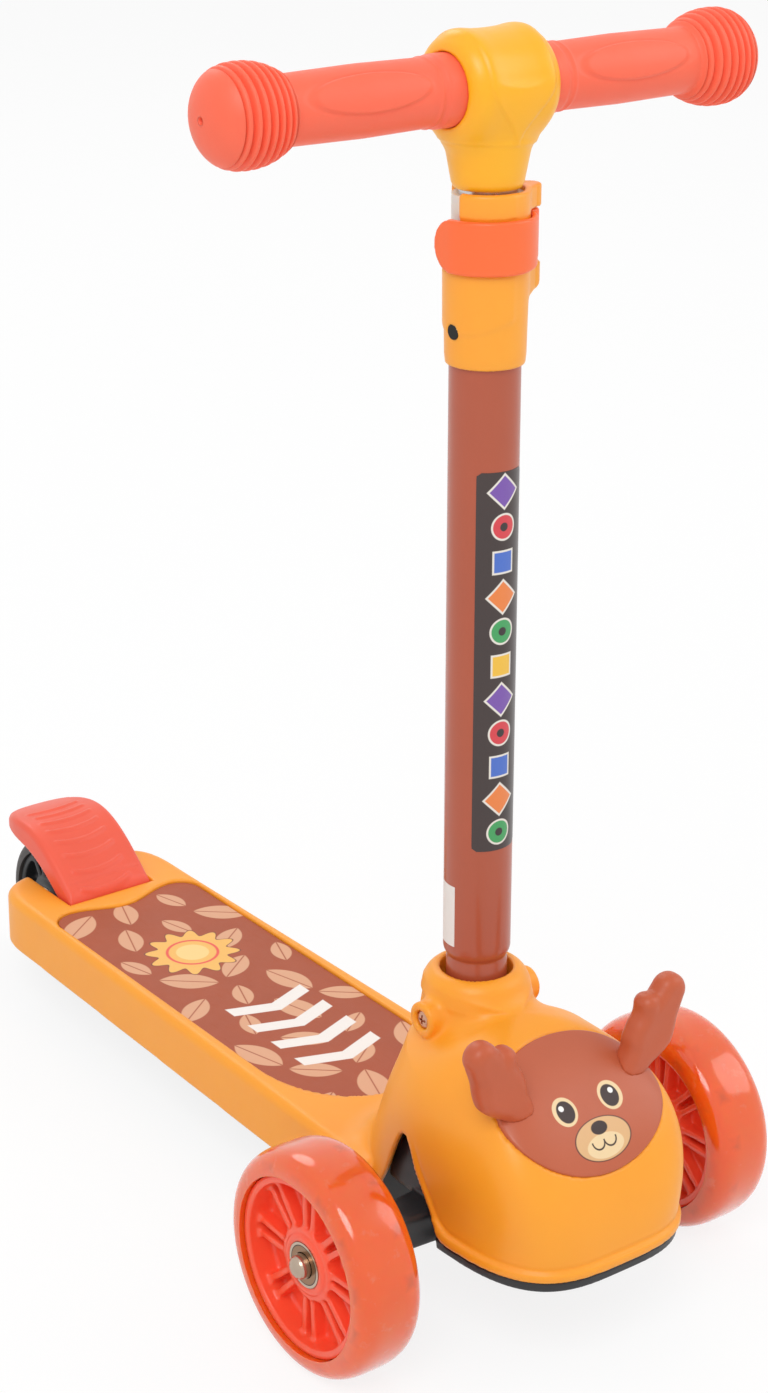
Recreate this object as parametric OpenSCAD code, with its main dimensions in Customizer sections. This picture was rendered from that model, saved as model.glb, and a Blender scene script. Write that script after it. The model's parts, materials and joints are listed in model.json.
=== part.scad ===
// Three-wheeled kick scooter for a small child.
// Millimetres. +Z is up, the scooter faces -Y and its origin lies on the ground
// under the middle of its outline. Every module is written with Y = 0 at the front
// axle, and on_ground() moves it to that origin.

/* [Front wheels] */
// Diameter of a front wheel
front_wheel_d = 110; // [106:1:112]
// Width of a front tyre
front_tyre_w = 34.6; // [32:0.2:35]
// Distance between the middle planes of the front wheels
track = 213.6; // [208:0.2:220]
// Outer diameter of a front wheel's rim
front_rim_d = 87; // [84:1:88]
// Width of a front wheel's rim
front_rim_w = 30; // [28:1:31]
// Number of light modules in a front tyre
light_count = 6; // [3:1:8]

/* [Rear wheel] */
// Diameter of the rear wheel
rear_wheel_d = 80; // [76:1:82]
// Width of the rear tyre
rear_tyre_w = 24; // [22:1:25]
// Outer diameter of the rear wheel's rim
rear_rim_d = 64; // [60:1:66]
// Distance between the front and the rear axle
wheelbase = 408; // [402:1:420]

/* [Axles and bearings] */
// Diameter of the axle bolts
axle_d = 8; // [7:0.5:8.5]
// Outer diameter of a ball bearing
bearing_d = 22; // [21:0.5:24]
// Width of a ball bearing
bearing_w = 7; // [6:0.5:8]
// Distance between the outer faces of the two bearings in a wheel
hub_w = 23.8; // [22:0.2:26]
// Diameter of a domed axle head
axle_head_d = 11.5; // [10.5:0.5:13]

/* [Deck] */
// Height of the deck's rim above the ground
deck_top = 67; // [65:0.5:69]
// Height of the lower edge of the deck's sides
deck_edge = 36; // [35.5:0.5:37]
// Height of the underside of the bottom tray
tray_bottom = 32; // [30:0.5:33]
// Half width of the deck at its front
deck_half_front = 57; // [55:0.5:58]
// Half width of the deck ahead of the rear wheel
deck_half_rear = 50.5; // [49:0.5:52]
// Wall of the moulded shells
wall = 3; // [2.5:0.1:3.4]
// Thickness of the grip mat
mat_t = 2; // [1.5:0.1:2.5]
// Half width of the grip mat
mat_half = 45; // [43:0.5:46]
// Distance from the front axle to the mat's front edge
mat_front = 85; // [83:1:90]
// Distance from the mat's rear edge back to the wheel's slot
mat_rear = 8; // [6:1:11]

/* [Nose] */
// How far the nose reaches ahead of the front axle
nose_reach = 85; // [84:0.5:88]
// Height of the nose's lower rim
nose_rim = 58; // [57:0.5:59]
// Height of the top of the nose
nose_top = 149; // [146:0.5:151]
// Half width of the nose at its rim
nose_half = 53; // [52:0.5:54]
// Half width of the oval face plate
face_half_w = 43; // [40:0.5:44]
// Half height of the oval face plate, measured along its slope
face_half_h = 35; // [32:0.5:36]
// Thickness of the face plate and of the antlers' sockets
face_t = 2.4; // [2:0.1:3]
// Thickness of an antler
antler_t = 13; // [11:0.5:14]

/* [Steering column] */
// Backward lean of the column in degrees
rake = 1; // [0.5:0.1:1.5]
// Distance from the front axle back to the column, at the ground
column_y = 23.5; // [22.5:0.1:24.5]
// Outer diameter of the steering tube
tube_d = 31.6; // [31:0.1:32]
// Wall of the steering tube
tube_wall = 1.5; // [1.2:0.1:1.8]
// Height of the steering tube's top along the column
tube_top = 512; // [508:1:514]
// Outer diameter of the sliding inner tube
inner_d = 25.4; // [24.8:0.1:25.8]
// Height of the neck's rim along the column
neck_top = 161; // [158:0.5:164]
// Outer radius of the neck below its rounded rim
neck_r = 25; // [24:0.5:26]
// Height of the cross bolt in the neck
neck_bolt_z = 141.5; // [140:0.5:143]

/* [Clamp] */
// Height of the sleeve's lower edge along the column
sleeve_bottom = 451.5; // [449:0.5:454]
// Height of the sleeve's upper edge along the column
sleeve_top = 526.5; // [525.5:0.5:528]
// Outer diameter of the sleeve
sleeve_d = 37; // [36.5:0.1:38]
// Width of the lever band
lever_w = 23.5; // [22:0.5:25]
// Height of the lever's middle along the column
lever_z = 504.5; // [503.5:0.5:505.5]
// Thickness of the lever band
lever_t = 2.8; // [2.4:0.1:3]
// Diameter of the lever's hinge pin
lever_pin_d = 3; // [2.6:0.1:3.2]

/* [Handlebar] */
// Height of the handlebar's axis along the column
bar_z = 570; // [568:0.5:573]
// Diameter of the cross tube inside the grips
bar_d = 22.2; // [21.6:0.1:22.6]
// Radius of the T joint's barrel
barrel_r = 24.5; // [23.5:0.1:25]
// Half length of the T joint's barrel
barrel_half = 25; // [24:0.5:26]
// Radius of a grip's barrel
grip_r = 14.4; // [13.8:0.1:14.8]
// Radius of a grip's ball end
ball_r = 21.4; // [20.5:0.1:22]
// Distance from the column to the end of a grip
bar_half = 144; // [140:0.5:148]

/* [Truck] */
// Tilt of the truck's pivot above the horizontal, in degrees
pivot_tilt = 40; // [36:1:44]
// Diameter of the truck's pivot pin
pivot_d = 10; // [9:0.5:10.5]
// Height of the pivot's middle above the front axle
pivot_rise = 3; // [2:0.5:4]
// Outer diameter of the truck's hub
truck_hub_d = 26; // [24:0.5:27]
// Length of the truck's hub
truck_hub_l = 32; // [30:0.5:33]
// Mean diameter of a return spring
spring_d = 12; // [11:0.5:13]
// Distance from the middle to a return spring
spring_x = 35; // [34:0.5:36]

/* [Brake] */
// Distance from the brake's pin back to the rear axle
brake_y = 42; // [40:1:44]
// Height of the brake's pin
brake_z = 59; // [58:0.5:60]
// Diameter of the brake's pin
brake_pin_d = 5; // [4.5:0.1:5.5]
// Width of the brake
brake_w = 53; // [51:0.5:53.5]
// Height of the brake's highest point
brake_top = 97; // [96:0.5:98.5]

/* [Fits] */
// Radial clearance of a shaft that turns in its hole
run_gap = 0.05; // [0.03:0.01:0.08]
// Radial clearance of a piece that is seated in another
seat_gap = 0.02; // [0.01:0.01:0.05]
// Gap between surfaces that pass each other
pass_gap = 0.4; // [0.3:0.05:0.6]

/* [Hidden] */

front_r = front_wheel_d / 2;
rear_r = rear_wheel_d / 2;
half_track = track / 2;
lip = 1.8;
y_middle = (wheelbase + rear_r - nose_reach - lip) / 2;
ring_n = 36;
round_n = 64;
rim_t = 3.5;
race_t = 2;
race_d = axle_d + 2 * race_t;
web_t = 3;
spoke_count = 8;
spoke_t = 2;
washer_t = 1.2;

module on_ground() { translate([0, -y_middle, 0]) children(); }

module on_column() { translate([0, column_y, 0]) rotate([-rake, 0, 0]) children(); }

// Lies along the truck's pivot, with +Z forwards and up.
module on_pivot() {
  translate([0, 0, front_r + pivot_rise]) rotate([90 - pivot_tilt, 0, 0]) children();
}

module along_x() { rotate([0, 90, 0]) children(); }

module both_sides() {
  children();
  mirror([1, 0, 0]) children();
}

module rod(d, l) { cylinder(d = d, h = l, center = true, $fn = round_n); }

module tube(d, bore, l) {
  difference() {
    rod(d, l);
    rod(bore, l + 2);
  }
}

// Closed skin through rings of equal point count. Each ring is level and runs
// anticlockwise seen from above, and the rings go upwards.
module skin(rings) {
  n = len(rings[0]);
  m = len(rings);
  polyhedron(
    points = [for (r = rings) each r],
    faces = concat(
      [[for (i = [0 : n - 1]) i]],
      [for (j = [0 : m - 2], i = [0 : n - 1]) each [
        [j * n + i, (j + 1) * n + i, (j + 1) * n + (i + 1) % n],
        [j * n + i, (j + 1) * n + (i + 1) % n, j * n + (i + 1) % n]]],
      [[for (i = [n - 1 : -1 : 0]) (m - 1) * n + i]]),
    convexity = 8);
}

function signed_pow(v, e) = sign(v) * pow(abs(v), e);

// Superellipse of half sizes a and b about (0, yc) at height z.
function oval(a, b, yc, z, n) = [for (i = [0 : ring_n - 1])
  let (t = 360 * i / ring_n)
  [a * signed_pow(cos(t), 2 / n), yc + b * signed_pow(sin(t), 2 / n), z]];

// ---------------------------------------------------------------- nose

// The nose, the shoulder behind it and the deck's front are one flowing skin of
// level rings. Each ring is a superellipse with its own front and back half.
nose_len = 47;
shoulder_back = 78;
shoulder_top = 124;
lip_drop = 2;
rim_flare = 4;
body_levels = [for (k = [0 : 9]) 0.985 * sin(k * 10)];

function raise(r, dz) = [for (p = r) [p[0], p[1], p[2] + dz]];

// Half width, front, middle, back and roundness of the body at the share s of its
// height, grown outwards by g.
function body_half(s) = (nose_half + 12 * s + rim_flare * pow(1 - s, 10)) * pow(1 - pow(s, 3.3), 0.6);

function body_mid(s) = nose_len - nose_reach + 13 * s + 10 * s * s;

function body_front(s) = body_mid(s) - nose_len * pow(1 - pow(s, 4.6), 1.4);

function body_back(s) =
  let (u = s * (nose_top - nose_rim) / (shoulder_top - nose_rim))
  u < 1 ? shoulder_back - 24 * pow(u, 0.45) : max(body_mid(s) + 4, 54 - 130 * (u - 1));

function body_ring(s, g) =
  let (
    a = body_half(s) + g,
    yc = body_mid(s),
    nb = 3 - 1.5 * s)
  [for (i = [0 : ring_n - 1])
    let (
      t = 360 * i / ring_n,
      n = sin(t) > 0 ? nb : 2.3 + 2.1 * s,
      b = sin(t) > 0 ? body_back(s) - yc + g : yc - body_front(s) + g)
    [a * signed_pow(cos(t), 2 / n), yc + b * signed_pow(sin(t), 2 / n),
      nose_rim + s * (nose_top - nose_rim) + g * s]];

module front_body(g) {
  skin([for (s = body_levels) body_ring(s, g)]);
}

// Outer skin with a rolled lip round its lower rim.
module front_outer() {
  skin([raise(body_ring(0, 0.8), -lip_drop), raise(body_ring(0, lip), -0.5), raise(body_ring(0, lip), 2.5),
    raise(body_ring(0, 0), 4.5), for (k = [2 : 9]) body_ring(body_levels[k], 0)]);
}

// Hollow under the skin, open downwards, back to the deck's front wall.
module front_hollow() {
  intersection() {
    skin([raise(body_ring(0, -wall), -9), for (s = body_levels) body_ring(s, -wall)]);
    translate([-100, -150, 0]) cube([200, 150 + deck_start, socket_floor - 8]);
  }
}

// ---------------------------------------------------------------- deck

deck_back = wheelbase - 4;
deck_round = 49;
deck_start = 36;
edge_r = 5;
slot_half = brake_w / 2 + 1;
brake_at = wheelbase - brake_y;
slot_start = brake_at - 12;
mat_end = slot_start - mat_rear;
mat_z = deck_top - 1.3;

function deck_half(y) = deck_half_front
  + (deck_half_rear - deck_half_front) * (y - deck_start) / (deck_back - deck_round - deck_start);

// Half outline of the deck on the +X side, from front to back, drawn in by g.
function deck_side(g) = concat(
  [for (y = [deck_start + g, deck_back - deck_round]) [deck_half(y) - g, y]],
  [for (k = [1 : 8])
    let (t = 11.25 * k)
    [(deck_half_rear - g) * signed_pow(cos(t), 0.5),
      deck_back - deck_round + (deck_round - g) * signed_pow(sin(t), 0.5)]]);

function deck_outline(g) = let (s = deck_side(g)) concat(
  s, [for (k = [len(s) - 2 : -1 : 0]) [-s[k][0], s[k][1]]]);

function at_height(outline, z) = [for (p = outline) [p[0], p[1], z]];

module deck_block() {
  skin([at_height(deck_outline(1), deck_edge), at_height(deck_outline(0), deck_edge + 3),
    for (k = [0 : 4])
      at_height(deck_outline(edge_r * (1 - cos(k * 22.5))),
        deck_top - edge_r + edge_r * sin(k * 22.5))]);
}

// Outline of the grip mat: an oval front, straight sides and a waved rear edge.
mat_nose = 56;
mat_corner = 12;
mat_wave = 9;

function mat_side(g) = concat(
  [for (k = [-9 : 0])
    let (t = 10 * k)
    [(mat_half + g) * signed_pow(cos(t), 0.9),
      mat_front + mat_nose + (mat_nose + g) * signed_pow(sin(t), 0.9)]],
  [for (k = [0 : 4])
    let (t = 22.5 * k)
    [mat_half - mat_corner + (mat_corner + g) * cos(t),
      mat_end - mat_corner + (mat_corner + g) * sin(t)]],
  [for (k = [5 : -1 : 0])
    let (x = (mat_half - mat_corner) * k / 6)
    [x, mat_end + g - mat_wave * (1 + cos(180 * k / 6)) / 2]]);

function mat_outline(g) = let (s = mat_side(g)) concat(
  s, [for (k = [len(s) - 2 : -1 : 1]) [-s[k][0], s[k][1]]]);

post_d = 9;
screw_d = 3;
screw_head_d = 7;
screw_head_t = 2.4;
post_foot = tray_bottom + 5;
slot_wall_h = deck_top - 6 - deck_edge;
post_first = 70;
post_last = slot_start - 24;
tray_posts = [for (k = [0 : 2], x = [-1, 1]) [x * 36, post_first + k * (post_last - post_first) / 2]];
cover_posts = [for (x = [-1, 1]) [x * 27, -nose_reach + 32]];

module screw(z, l) {
  translate([0, 0, z]) cylinder(d = screw_head_d, h = screw_head_t, $fn = round_n);
  translate([0, 0, z + screw_head_t]) cylinder(d = screw_d, h = l, $fn = round_n);
}

// Side opening that the truck's arm leaves through.
module arm_arch() {
  rotate([90, 0, 90]) linear_extrude(140, center = true) polygon([
    [-18, nose_rim - 18], [-18, nose_rim - 1], [-16.5, nose_rim + 4], [-13, nose_rim + 9.5],
    [-9, nose_rim + 14], [-4, nose_rim + 22],
    [2, nose_rim + 32], [8, nose_rim + 37], [13, nose_rim + 35], [18, nose_rim + 26],
    [24, nose_rim + 12], [30, nose_rim], [34, nose_rim - 18]]);
}

socket_floor = 116;
neck_low = 96;
socket_r = tube_d / 2 - 1.5;
boss_x = 33;

module neck_solid() {
  on_column() {
    rotate_extrude($fn = round_n) polygon([
      [0, neck_low], [neck_r + 5, neck_low], [neck_r + 3, shoulder_top], [neck_r, neck_top - 12],
      [neck_r - 0.8, neck_top - 6], [neck_r - 2.4, neck_top - 2], [neck_r - 4.6, neck_top], [0, neck_top]]);
    translate([0, 0, neck_bolt_z]) along_x() rod(17, 2 * boss_x);
  }
}

// Cut for the tube, the cross bolt and its sunk ends.
module neck_bores() {
  on_column() {
    translate([0, 0, socket_floor]) cylinder(r = socket_r + seat_gap, h = 60, $fn = round_n);
    translate([0, 0, neck_top - 12]) cylinder(r = socket_r + 2.6, h = 20, $fn = round_n);
    translate([0, 0, neck_bolt_z]) along_x() {
      rod(neck_bolt_d + 2 * seat_gap, 80);
      both_ends() translate([0, 0, boss_x - 4]) cylinder(d = neck_head_d + 0.6, h = 6, $fn = round_n);
    }
  }
}

module both_ends() {
  children();
  mirror([0, 0, 1]) children();
}

neck_bolt_d = 5;
neck_head_d = 8.6;
rib_t = 6;
rib_at = truck_hub_l / 2 + pass_gap;
rib_w = 36;
rib_drop = 20;

// Two ribs for the truck's pivot pin, two spring seats and two screw posts,
// all hanging from the inside of the nose and the shoulder.
module inner_posts() {
  intersection() {
    union() {
      front_body(1 - wall);
      translate([-rib_w, -40, nose_rim - rib_drop]) cube([2 * rib_w, 80, rib_drop + 2]);
    }
    union() {
      on_pivot() both_ends() translate([-rib_w / 2, -15, rib_at]) cube([rib_w, 110, rib_t]);
      both_sides() translate([spring_x, 0, spring_seat]) cylinder(d = spring_d + 4, h = 60, $fn = round_n);
      for (p = cover_posts) translate([p[0], p[1], nose_rim]) cylinder(d = post_d, h = 90, $fn = round_n);
    }
  }
  on_pivot() both_ends() translate([0, 0, rib_at]) cylinder(d = pivot_d + 12, h = rib_t, $fn = round_n);
}

spring_foot = front_r + 11.5;
spring_seat = spring_foot + 24;

face_y = -48;
face_z = 121;
face_tilt = 40;

module face_prism(g, l) {
  translate([0, face_y, face_z]) rotate([face_tilt, 0, 0])
    scale_flat([face_half_w + g, face_half_h + g], l);
}

// Oval bar of the given half sizes, centred on the face's slope.
module scale_flat(half, l) {
  linear_extrude(l, center = true) polygon([for (i = [0 : 2 * ring_n - 1])
    let (t = 180 * i / ring_n)
    [half[0] * cos(t), half[1] * sin(t)]]);
}

fork_x = rear_tyre_w / 2 + 3.5;
fork_t = 5;
fork_h = 16;

module deck_shell() color([0.98, 0.62, 0.16]) difference() {
  union() {
    difference() {
      union() {
        deck_block();
        front_outer();
        neck_solid();
      }
      front_hollow();
      translate([0, 0, -1]) linear_extrude(deck_top - wall - 4 + 1) polygon(deck_outline(wall));
      arm_arch();
      // seat of the face plate
      difference() {
        translate([0, -30, 24]) face_prism(0.2, 90);
        front_body(-face_t / 2);
      }
    }
    inner_posts();
    for (p = tray_posts) translate([p[0], p[1], post_foot]) cylinder(d = post_d, h = 24, $fn = round_n);
    // walls along the wheel slot, which carry the brake's pin
    intersection() {
      translate([0, 0, deck_edge]) linear_extrude(slot_wall_h) polygon(deck_outline(1));
      slot_walls();
    }
  }
  translate([0, 0, mat_z - mat_t]) linear_extrude(20) polygon(mat_outline(0.8));
  translate([-slot_half, slot_start, 0]) cube([2 * slot_half, 100, 100]);
  neck_bores();
  on_pivot() rod(pivot_d + 2 * seat_gap, 90);
  both_sides() translate([brake_pin_half / 2, brake_at, brake_z]) along_x()
    rod(brake_pin_d + 2 * seat_gap, brake_pin_half);
  for (p = tray_posts) translate([p[0], p[1], 0]) cylinder(d = screw_d + 2 * seat_gap, h = 58, $fn = round_n);
  for (p = cover_posts) translate([p[0], p[1], 0]) cylinder(d = screw_d + 2 * seat_gap, h = 76, $fn = round_n);
  both_sides() translate([antler_x, antler_y, antler_z]) antler_turn()
    rod(antler_peg_d + 2 * seat_gap, 2 * antler_peg_l);
}

module slot_walls() {
  difference() {
    translate([-slot_half - wall, slot_start - wall, 0]) cube([2 * slot_half + 2 * wall, 100, 100]);
    translate([-slot_half, slot_start, -1]) cube([2 * slot_half, 100, 102]);
  }
}

brake_pin_half = slot_half + wall - 0.4;

// ---------------------------------------------------------------- covers

// Tray that closes the deck from below and carries the rear axle in its fork.
module bottom_tray() color([0.1, 0.1, 0.11]) difference() {
  union() {
    difference() {
      skin([at_height(deck_outline(6), tray_bottom), at_height(deck_outline(3.2), tray_bottom + 2.5),
        at_height(deck_outline(3.2), deck_edge - seat_gap)]);
      difference() {
        translate([0, 0, tray_bottom + wall]) linear_extrude(30) polygon(deck_outline(3.2 + wall));
        for (p = tray_posts) translate([p[0], p[1], 0])
          cylinder(d = post_d, h = post_foot - seat_gap, $fn = round_n);
      }
      translate([-slot_half, slot_start, 0]) cube([2 * slot_half, 100, 100]);
    }
    // side walls of the wheel slot
    intersection() {
      translate([0, 0, tray_bottom]) linear_extrude(deck_edge - seat_gap - tray_bottom) polygon(deck_outline(6));
      slot_walls();
    }
    both_sides() fork_arm();
  }
  translate([0, wheelbase, rear_r]) along_x() rod(axle_d + 2 * seat_gap, 120);
  for (p = tray_posts) translate([p[0], p[1], 0]) {
    cylinder(d = screw_d + 0.6, h = 60, $fn = round_n);
    cylinder(d = screw_head_d + 0.6, h = tray_bottom + screw_head_t + 0.6, $fn = round_n);
  }
}

// Arm beside the rear wheel, with a foot that joins the tray ahead of the slot.
module fork_arm() {
  translate([fork_x, 0, 0]) {
    translate([0, slot_start - wall, tray_bottom]) cube([fork_t, 2 * wall, deck_edge - seat_gap - tray_bottom]);
    translate([0, slot_start + seat_gap, tray_bottom]) cube([fork_t, wheelbase - slot_start, fork_h]);
    translate([fork_t / 2, wheelbase, rear_r]) along_x() rod(2 * (rear_r - tray_bottom), fork_t);
  }
}

module front_cover() color([0.1, 0.1, 0.11]) difference() {
  intersection() {
    difference() {
      skin([raise(body_ring(0, -6), -11), raise(body_ring(0, 0.2), -7), raise(body_ring(0, 0.8), -lip_drop - seat_gap)]);
      difference() {
        skin([raise(body_ring(0, -9), -8), raise(body_ring(0, -2 - wall), -5),
          raise(body_ring(0, -1 - wall), 2)]);
        for (p = cover_posts) translate([p[0], p[1], 0])
          cylinder(d = post_d, h = nose_rim - seat_gap, $fn = round_n);
      }
    }
    translate([-100, -200, 0]) cube([200, 200 - cover_back, 100]);
  }
  for (p = cover_posts) translate([p[0], p[1], 0]) {
    cylinder(d = screw_d + 0.6, h = 80, $fn = round_n);
    cylinder(d = screw_head_d + 0.6, h = nose_rim - 11 + screw_head_t + 0.6, $fn = round_n);
  }
}

cover_back = 21;

module deck_mat() color([0.66, 0.33, 0.25])
  translate([0, 0, mat_z - mat_t]) linear_extrude(mat_t) polygon(mat_outline(0));

module tray_screws() color([0.6, 0.6, 0.62])
  for (p = tray_posts) translate([p[0], p[1], 0]) screw(tray_bottom + 0.6, 16);

module cover_screws() color([0.6, 0.6, 0.62])
  for (p = cover_posts) translate([p[0], p[1], 0]) screw(nose_rim - 11 + 0.6, 18);

// ---------------------------------------------------------------- face

antler_x = 30.5;
antler_y = -48;
antler_z = 124;
antler_peg_d = 7;
antler_peg_l = 9;

// Points an antler's peg along the face's slope.
module antler_turn() { rotate([face_tilt - 12, 0, 0]) children(); }

module face_plate() color([0.69, 0.36, 0.27]) difference() {
  intersection() {
    front_body(face_t / 2);
    translate([0, -30, 24]) face_prism(0, 90);
  }
  front_body(-face_t / 2 + seat_gap);
  both_sides() translate([antler_x, antler_y, antler_z]) antler_turn() rod(antler_peg_d + 2 * seat_gap, 60);
}

// Flat strip between two discs of radius r1 and r2.
module limb(p, r1, q, r2) {
  d = q - p;
  n = [-d[1], d[0]] / norm(d);
  translate(p) circle(r1, $fn = 32);
  translate(q) circle(r2, $fn = 32);
  polygon([p + r1 * n, p - r1 * n, q - r2 * n, q + r2 * n]);
}

// Paddle of an antler with its main lobe, a second tine and a small knob.
module antler_shape() {
  limb([0, 1.5], 6.2, [13.5, 20.5], 11.2);
  limb([13.5, 20.5], 11.2, [25.5, 39.5], 8);
  limb([13.5, 20.5], 8, [12.5, 35.5], 5.2);
  limb([10, 18], 8, [3.5, 19.5], 5);
}

module antler() {
  translate([antler_x, antler_y, antler_z]) {
    difference() {
      rotate([90, 0, 0]) linear_extrude(antler_t, center = true) antler_shape();
      translate([-antler_x, -antler_y, -antler_z]) front_body(face_t / 2 + seat_gap);
    }
    antler_turn() rod(antler_peg_d, 2 * antler_peg_l - 2);
  }
}

module antler_right_side() color([0.72, 0.38, 0.26]) antler();

// ---------------------------------------------------------------- column

tube_low = socket_floor + 1;
step_z = neck_top + 8;
low_r = socket_r;

module steering_tube() color([0.64, 0.27, 0.15]) on_column() difference() {
  rotate_extrude($fn = round_n) polygon([
    [low_r - tube_wall, tube_low], [low_r, tube_low], [low_r, step_z - 3],
    [low_r - 0.5, step_z - 2], [low_r, step_z - 1], [low_r + 0.8, step_z + 1],
    [tube_d / 2, step_z + 3], [tube_d / 2, tube_top], [tube_d / 2 - tube_wall, tube_top],
    [tube_d / 2 - tube_wall, step_z + 5], [low_r - tube_wall, step_z]]);
  translate([0, 0, neck_bolt_z]) along_x() rod(neck_bolt_d + 2 * seat_gap, 80);
}

label_t = 0.3;
label_turn = -93;

// Printed strip wrapped round the front of the steering tube.
module tube_label() color([0.18, 0.12, 0.11]) on_column()
  translate([0, 0, 316]) intersection() {
    tube(tube_d + 2 * label_t + 2 * seat_gap, tube_d + 2 * seat_gap, 182);
    rotate([0, 0, label_turn]) translate([0, -11, -100]) cube([30, 22, 200]);
  }

module neck_bolt() color([0.72, 0.7, 0.66]) on_column() translate([0, 0, neck_bolt_z]) along_x() {
  rod(neck_bolt_d, 2 * boss_x - 12);
  translate([0, 0, -boss_x + 1]) cylinder(d = neck_head_d, h = 3, $fn = round_n);
  translate([0, 0, -boss_x + 4]) cylinder(d = neck_bolt_d, h = 8, $fn = round_n);
}

module neck_nut() color([0.72, 0.7, 0.66]) on_column() translate([0, 0, neck_bolt_z]) along_x()
  difference() {
    translate([0, 0, boss_x - 4]) cylinder(d = neck_head_d, h = 3, $fn = round_n);
    translate([0, 0, boss_x - 7]) cylinder(d = neck_bolt_d + 2 * seat_gap, h = 5, $fn = round_n);
  }

// ---------------------------------------------------------------- clamp

pin_x = 23;
knuckle_d = 9;
slit_from = 128;
slit_to = 212;
lever_low = lever_z - lever_w / 2;
lever_high = lever_z + lever_w / 2;
sleeve_bore = tube_d + 2 * seat_gap;

module clamp_sleeve() color([0.98, 0.62, 0.22]) on_column() difference() {
  union() {
    rotate_extrude($fn = round_n) polygon([
      [10, sleeve_bottom], [sleeve_d / 2 - 2.6, sleeve_bottom],
      [sleeve_d / 2 - 1.6, sleeve_bottom + 0.8], [sleeve_d / 2 - 0.9, sleeve_bottom + 3],
      [sleeve_d / 2, sleeve_bottom + 40], [sleeve_d / 2, sleeve_top - 2],
      [sleeve_d / 2 - 0.8, sleeve_top], [10, sleeve_top]]);
    translate([0, 0, lever_low - 9]) linear_extrude(sleeve_top - lever_low + 9) ear_shape();
  }
  translate([0, 0, sleeve_bottom - 1]) cylinder(d = sleeve_bore, h = 100, $fn = round_n);
  // room for the lever's knuckle
  translate([pin_x, 0, lever_low - pass_gap]) cylinder(d = knuckle_d + 1.4, h = lever_w + 2 * pass_gap, $fn = round_n);
  // the band runs round the bare sleeve
  translate([0, 0, lever_z]) tube(2 * sleeve_d, sleeve_d, lever_w + 2 * pass_gap);
  translate([pin_x, 0, lever_low - 8]) cylinder(d = lever_pin_d + 2 * seat_gap, h = 60, $fn = round_n);
  // slit on the side away from the ear
  translate([0, 0, lever_low + 2]) linear_extrude(60) polygon([
    [0, 0], 30 * [cos(slit_from), sin(slit_from)], 36 * [cos(160), sin(160)],
    30 * [cos(slit_to), sin(slit_to)]]);
  translate([-16, 0, clamp_screw_z]) along_x() rod(clamp_screw_d + 2 * seat_gap, 12);
  translate([-clamp_seat - 5, 0, clamp_screw_z]) along_x() rod(clamp_head_d + 2 * seat_gap, 10);
}

clamp_screw_z = sleeve_bottom + 16;
clamp_screw_d = 4;
clamp_head_d = 7;
clamp_seat = sleeve_d / 2 - 1.4;

module ear_shape() hull() {
  translate([pin_x, 0]) circle(d = knuckle_d + 0.5, $fn = round_n);
  translate([6, 0]) circle(r = sleeve_d / 2 - 6.2, $fn = round_n);
}

module clamp_screw() color([0.1, 0.1, 0.1]) on_column() translate([0, 0, clamp_screw_z]) along_x() {
  translate([0, 0, -clamp_seat - 1.2]) cylinder(d = clamp_head_d, h = 1.2 - seat_gap, $fn = round_n);
  translate([0, 0, -clamp_seat - seat_gap - 0.1])
    cylinder(d = clamp_screw_d, h = clamp_seat - tube_d / 2, $fn = round_n);
}

// Split plastic bush between the two tubes, with a collar on the tube's end.
module tube_bush() color([0.8, 0.78, 0.74]) on_column() difference() {
  union() {
    translate([0, 0, tube_top - 40]) cylinder(d = tube_d - 2 * tube_wall - 2 * seat_gap, h = 41, $fn = round_n);
    translate([0, 0, tube_top + seat_gap]) cylinder(d = tube_d - 0.4, h = sleeve_top - tube_top - 1.5, $fn = round_n);
  }
  translate([0, 0, tube_top - 50]) cylinder(d = inner_d + 2 * run_gap, h = 80, $fn = round_n);
}

module lever_pin() color([0.7, 0.7, 0.7]) on_column()
  translate([pin_x, 0, lever_low - 7.5]) cylinder(d = lever_pin_d, h = lever_w + 12, $fn = round_n);

band_r = sleeve_d / 2 + pass_gap;
tab_reach = 12;

// Lever: a knuckle on the pin, a band round the front and a round-ended thumb tab.
module clamp_lever() color([1, 0.42, 0.22]) on_column()
  translate([0, 0, lever_low]) difference() {
    union() {
      translate([pin_x, 0, 0]) cylinder(d = knuckle_d, h = lever_w, $fn = round_n);
      difference() {
        cylinder(r = band_r + lever_t, h = lever_w, $fn = round_n);
        translate([-40, 0, -1]) cube([80, 40, lever_w + 2]);
      }
      translate([band_r, -knuckle_d / 2, 0]) cube([pin_x - band_r, knuckle_d / 2, lever_w]);
      intersection() {
        translate([-band_r - lever_t, -4, 0]) cube([lever_t, tab_reach + 4, lever_w]);
        translate([-band_r, tab_reach - lever_w / 2, lever_w / 2]) along_x() rod(lever_w, 20);
      }
    }
    translate([0, 0, -1]) cylinder(r = band_r, h = lever_w + 2, $fn = round_n);
    translate([pin_x, 0, -1]) cylinder(d = lever_pin_d + 2 * run_gap, h = lever_w + 2, $fn = round_n);
  }

// ---------------------------------------------------------------- mast

inner_low = 310;

module inner_tube() color([0.78, 0.78, 0.8]) on_column()
  translate([0, 0, (inner_low + bar_z - 14) / 2]) tube(inner_d, inner_d - 2.4, bar_z - 14 - inner_low);

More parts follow.
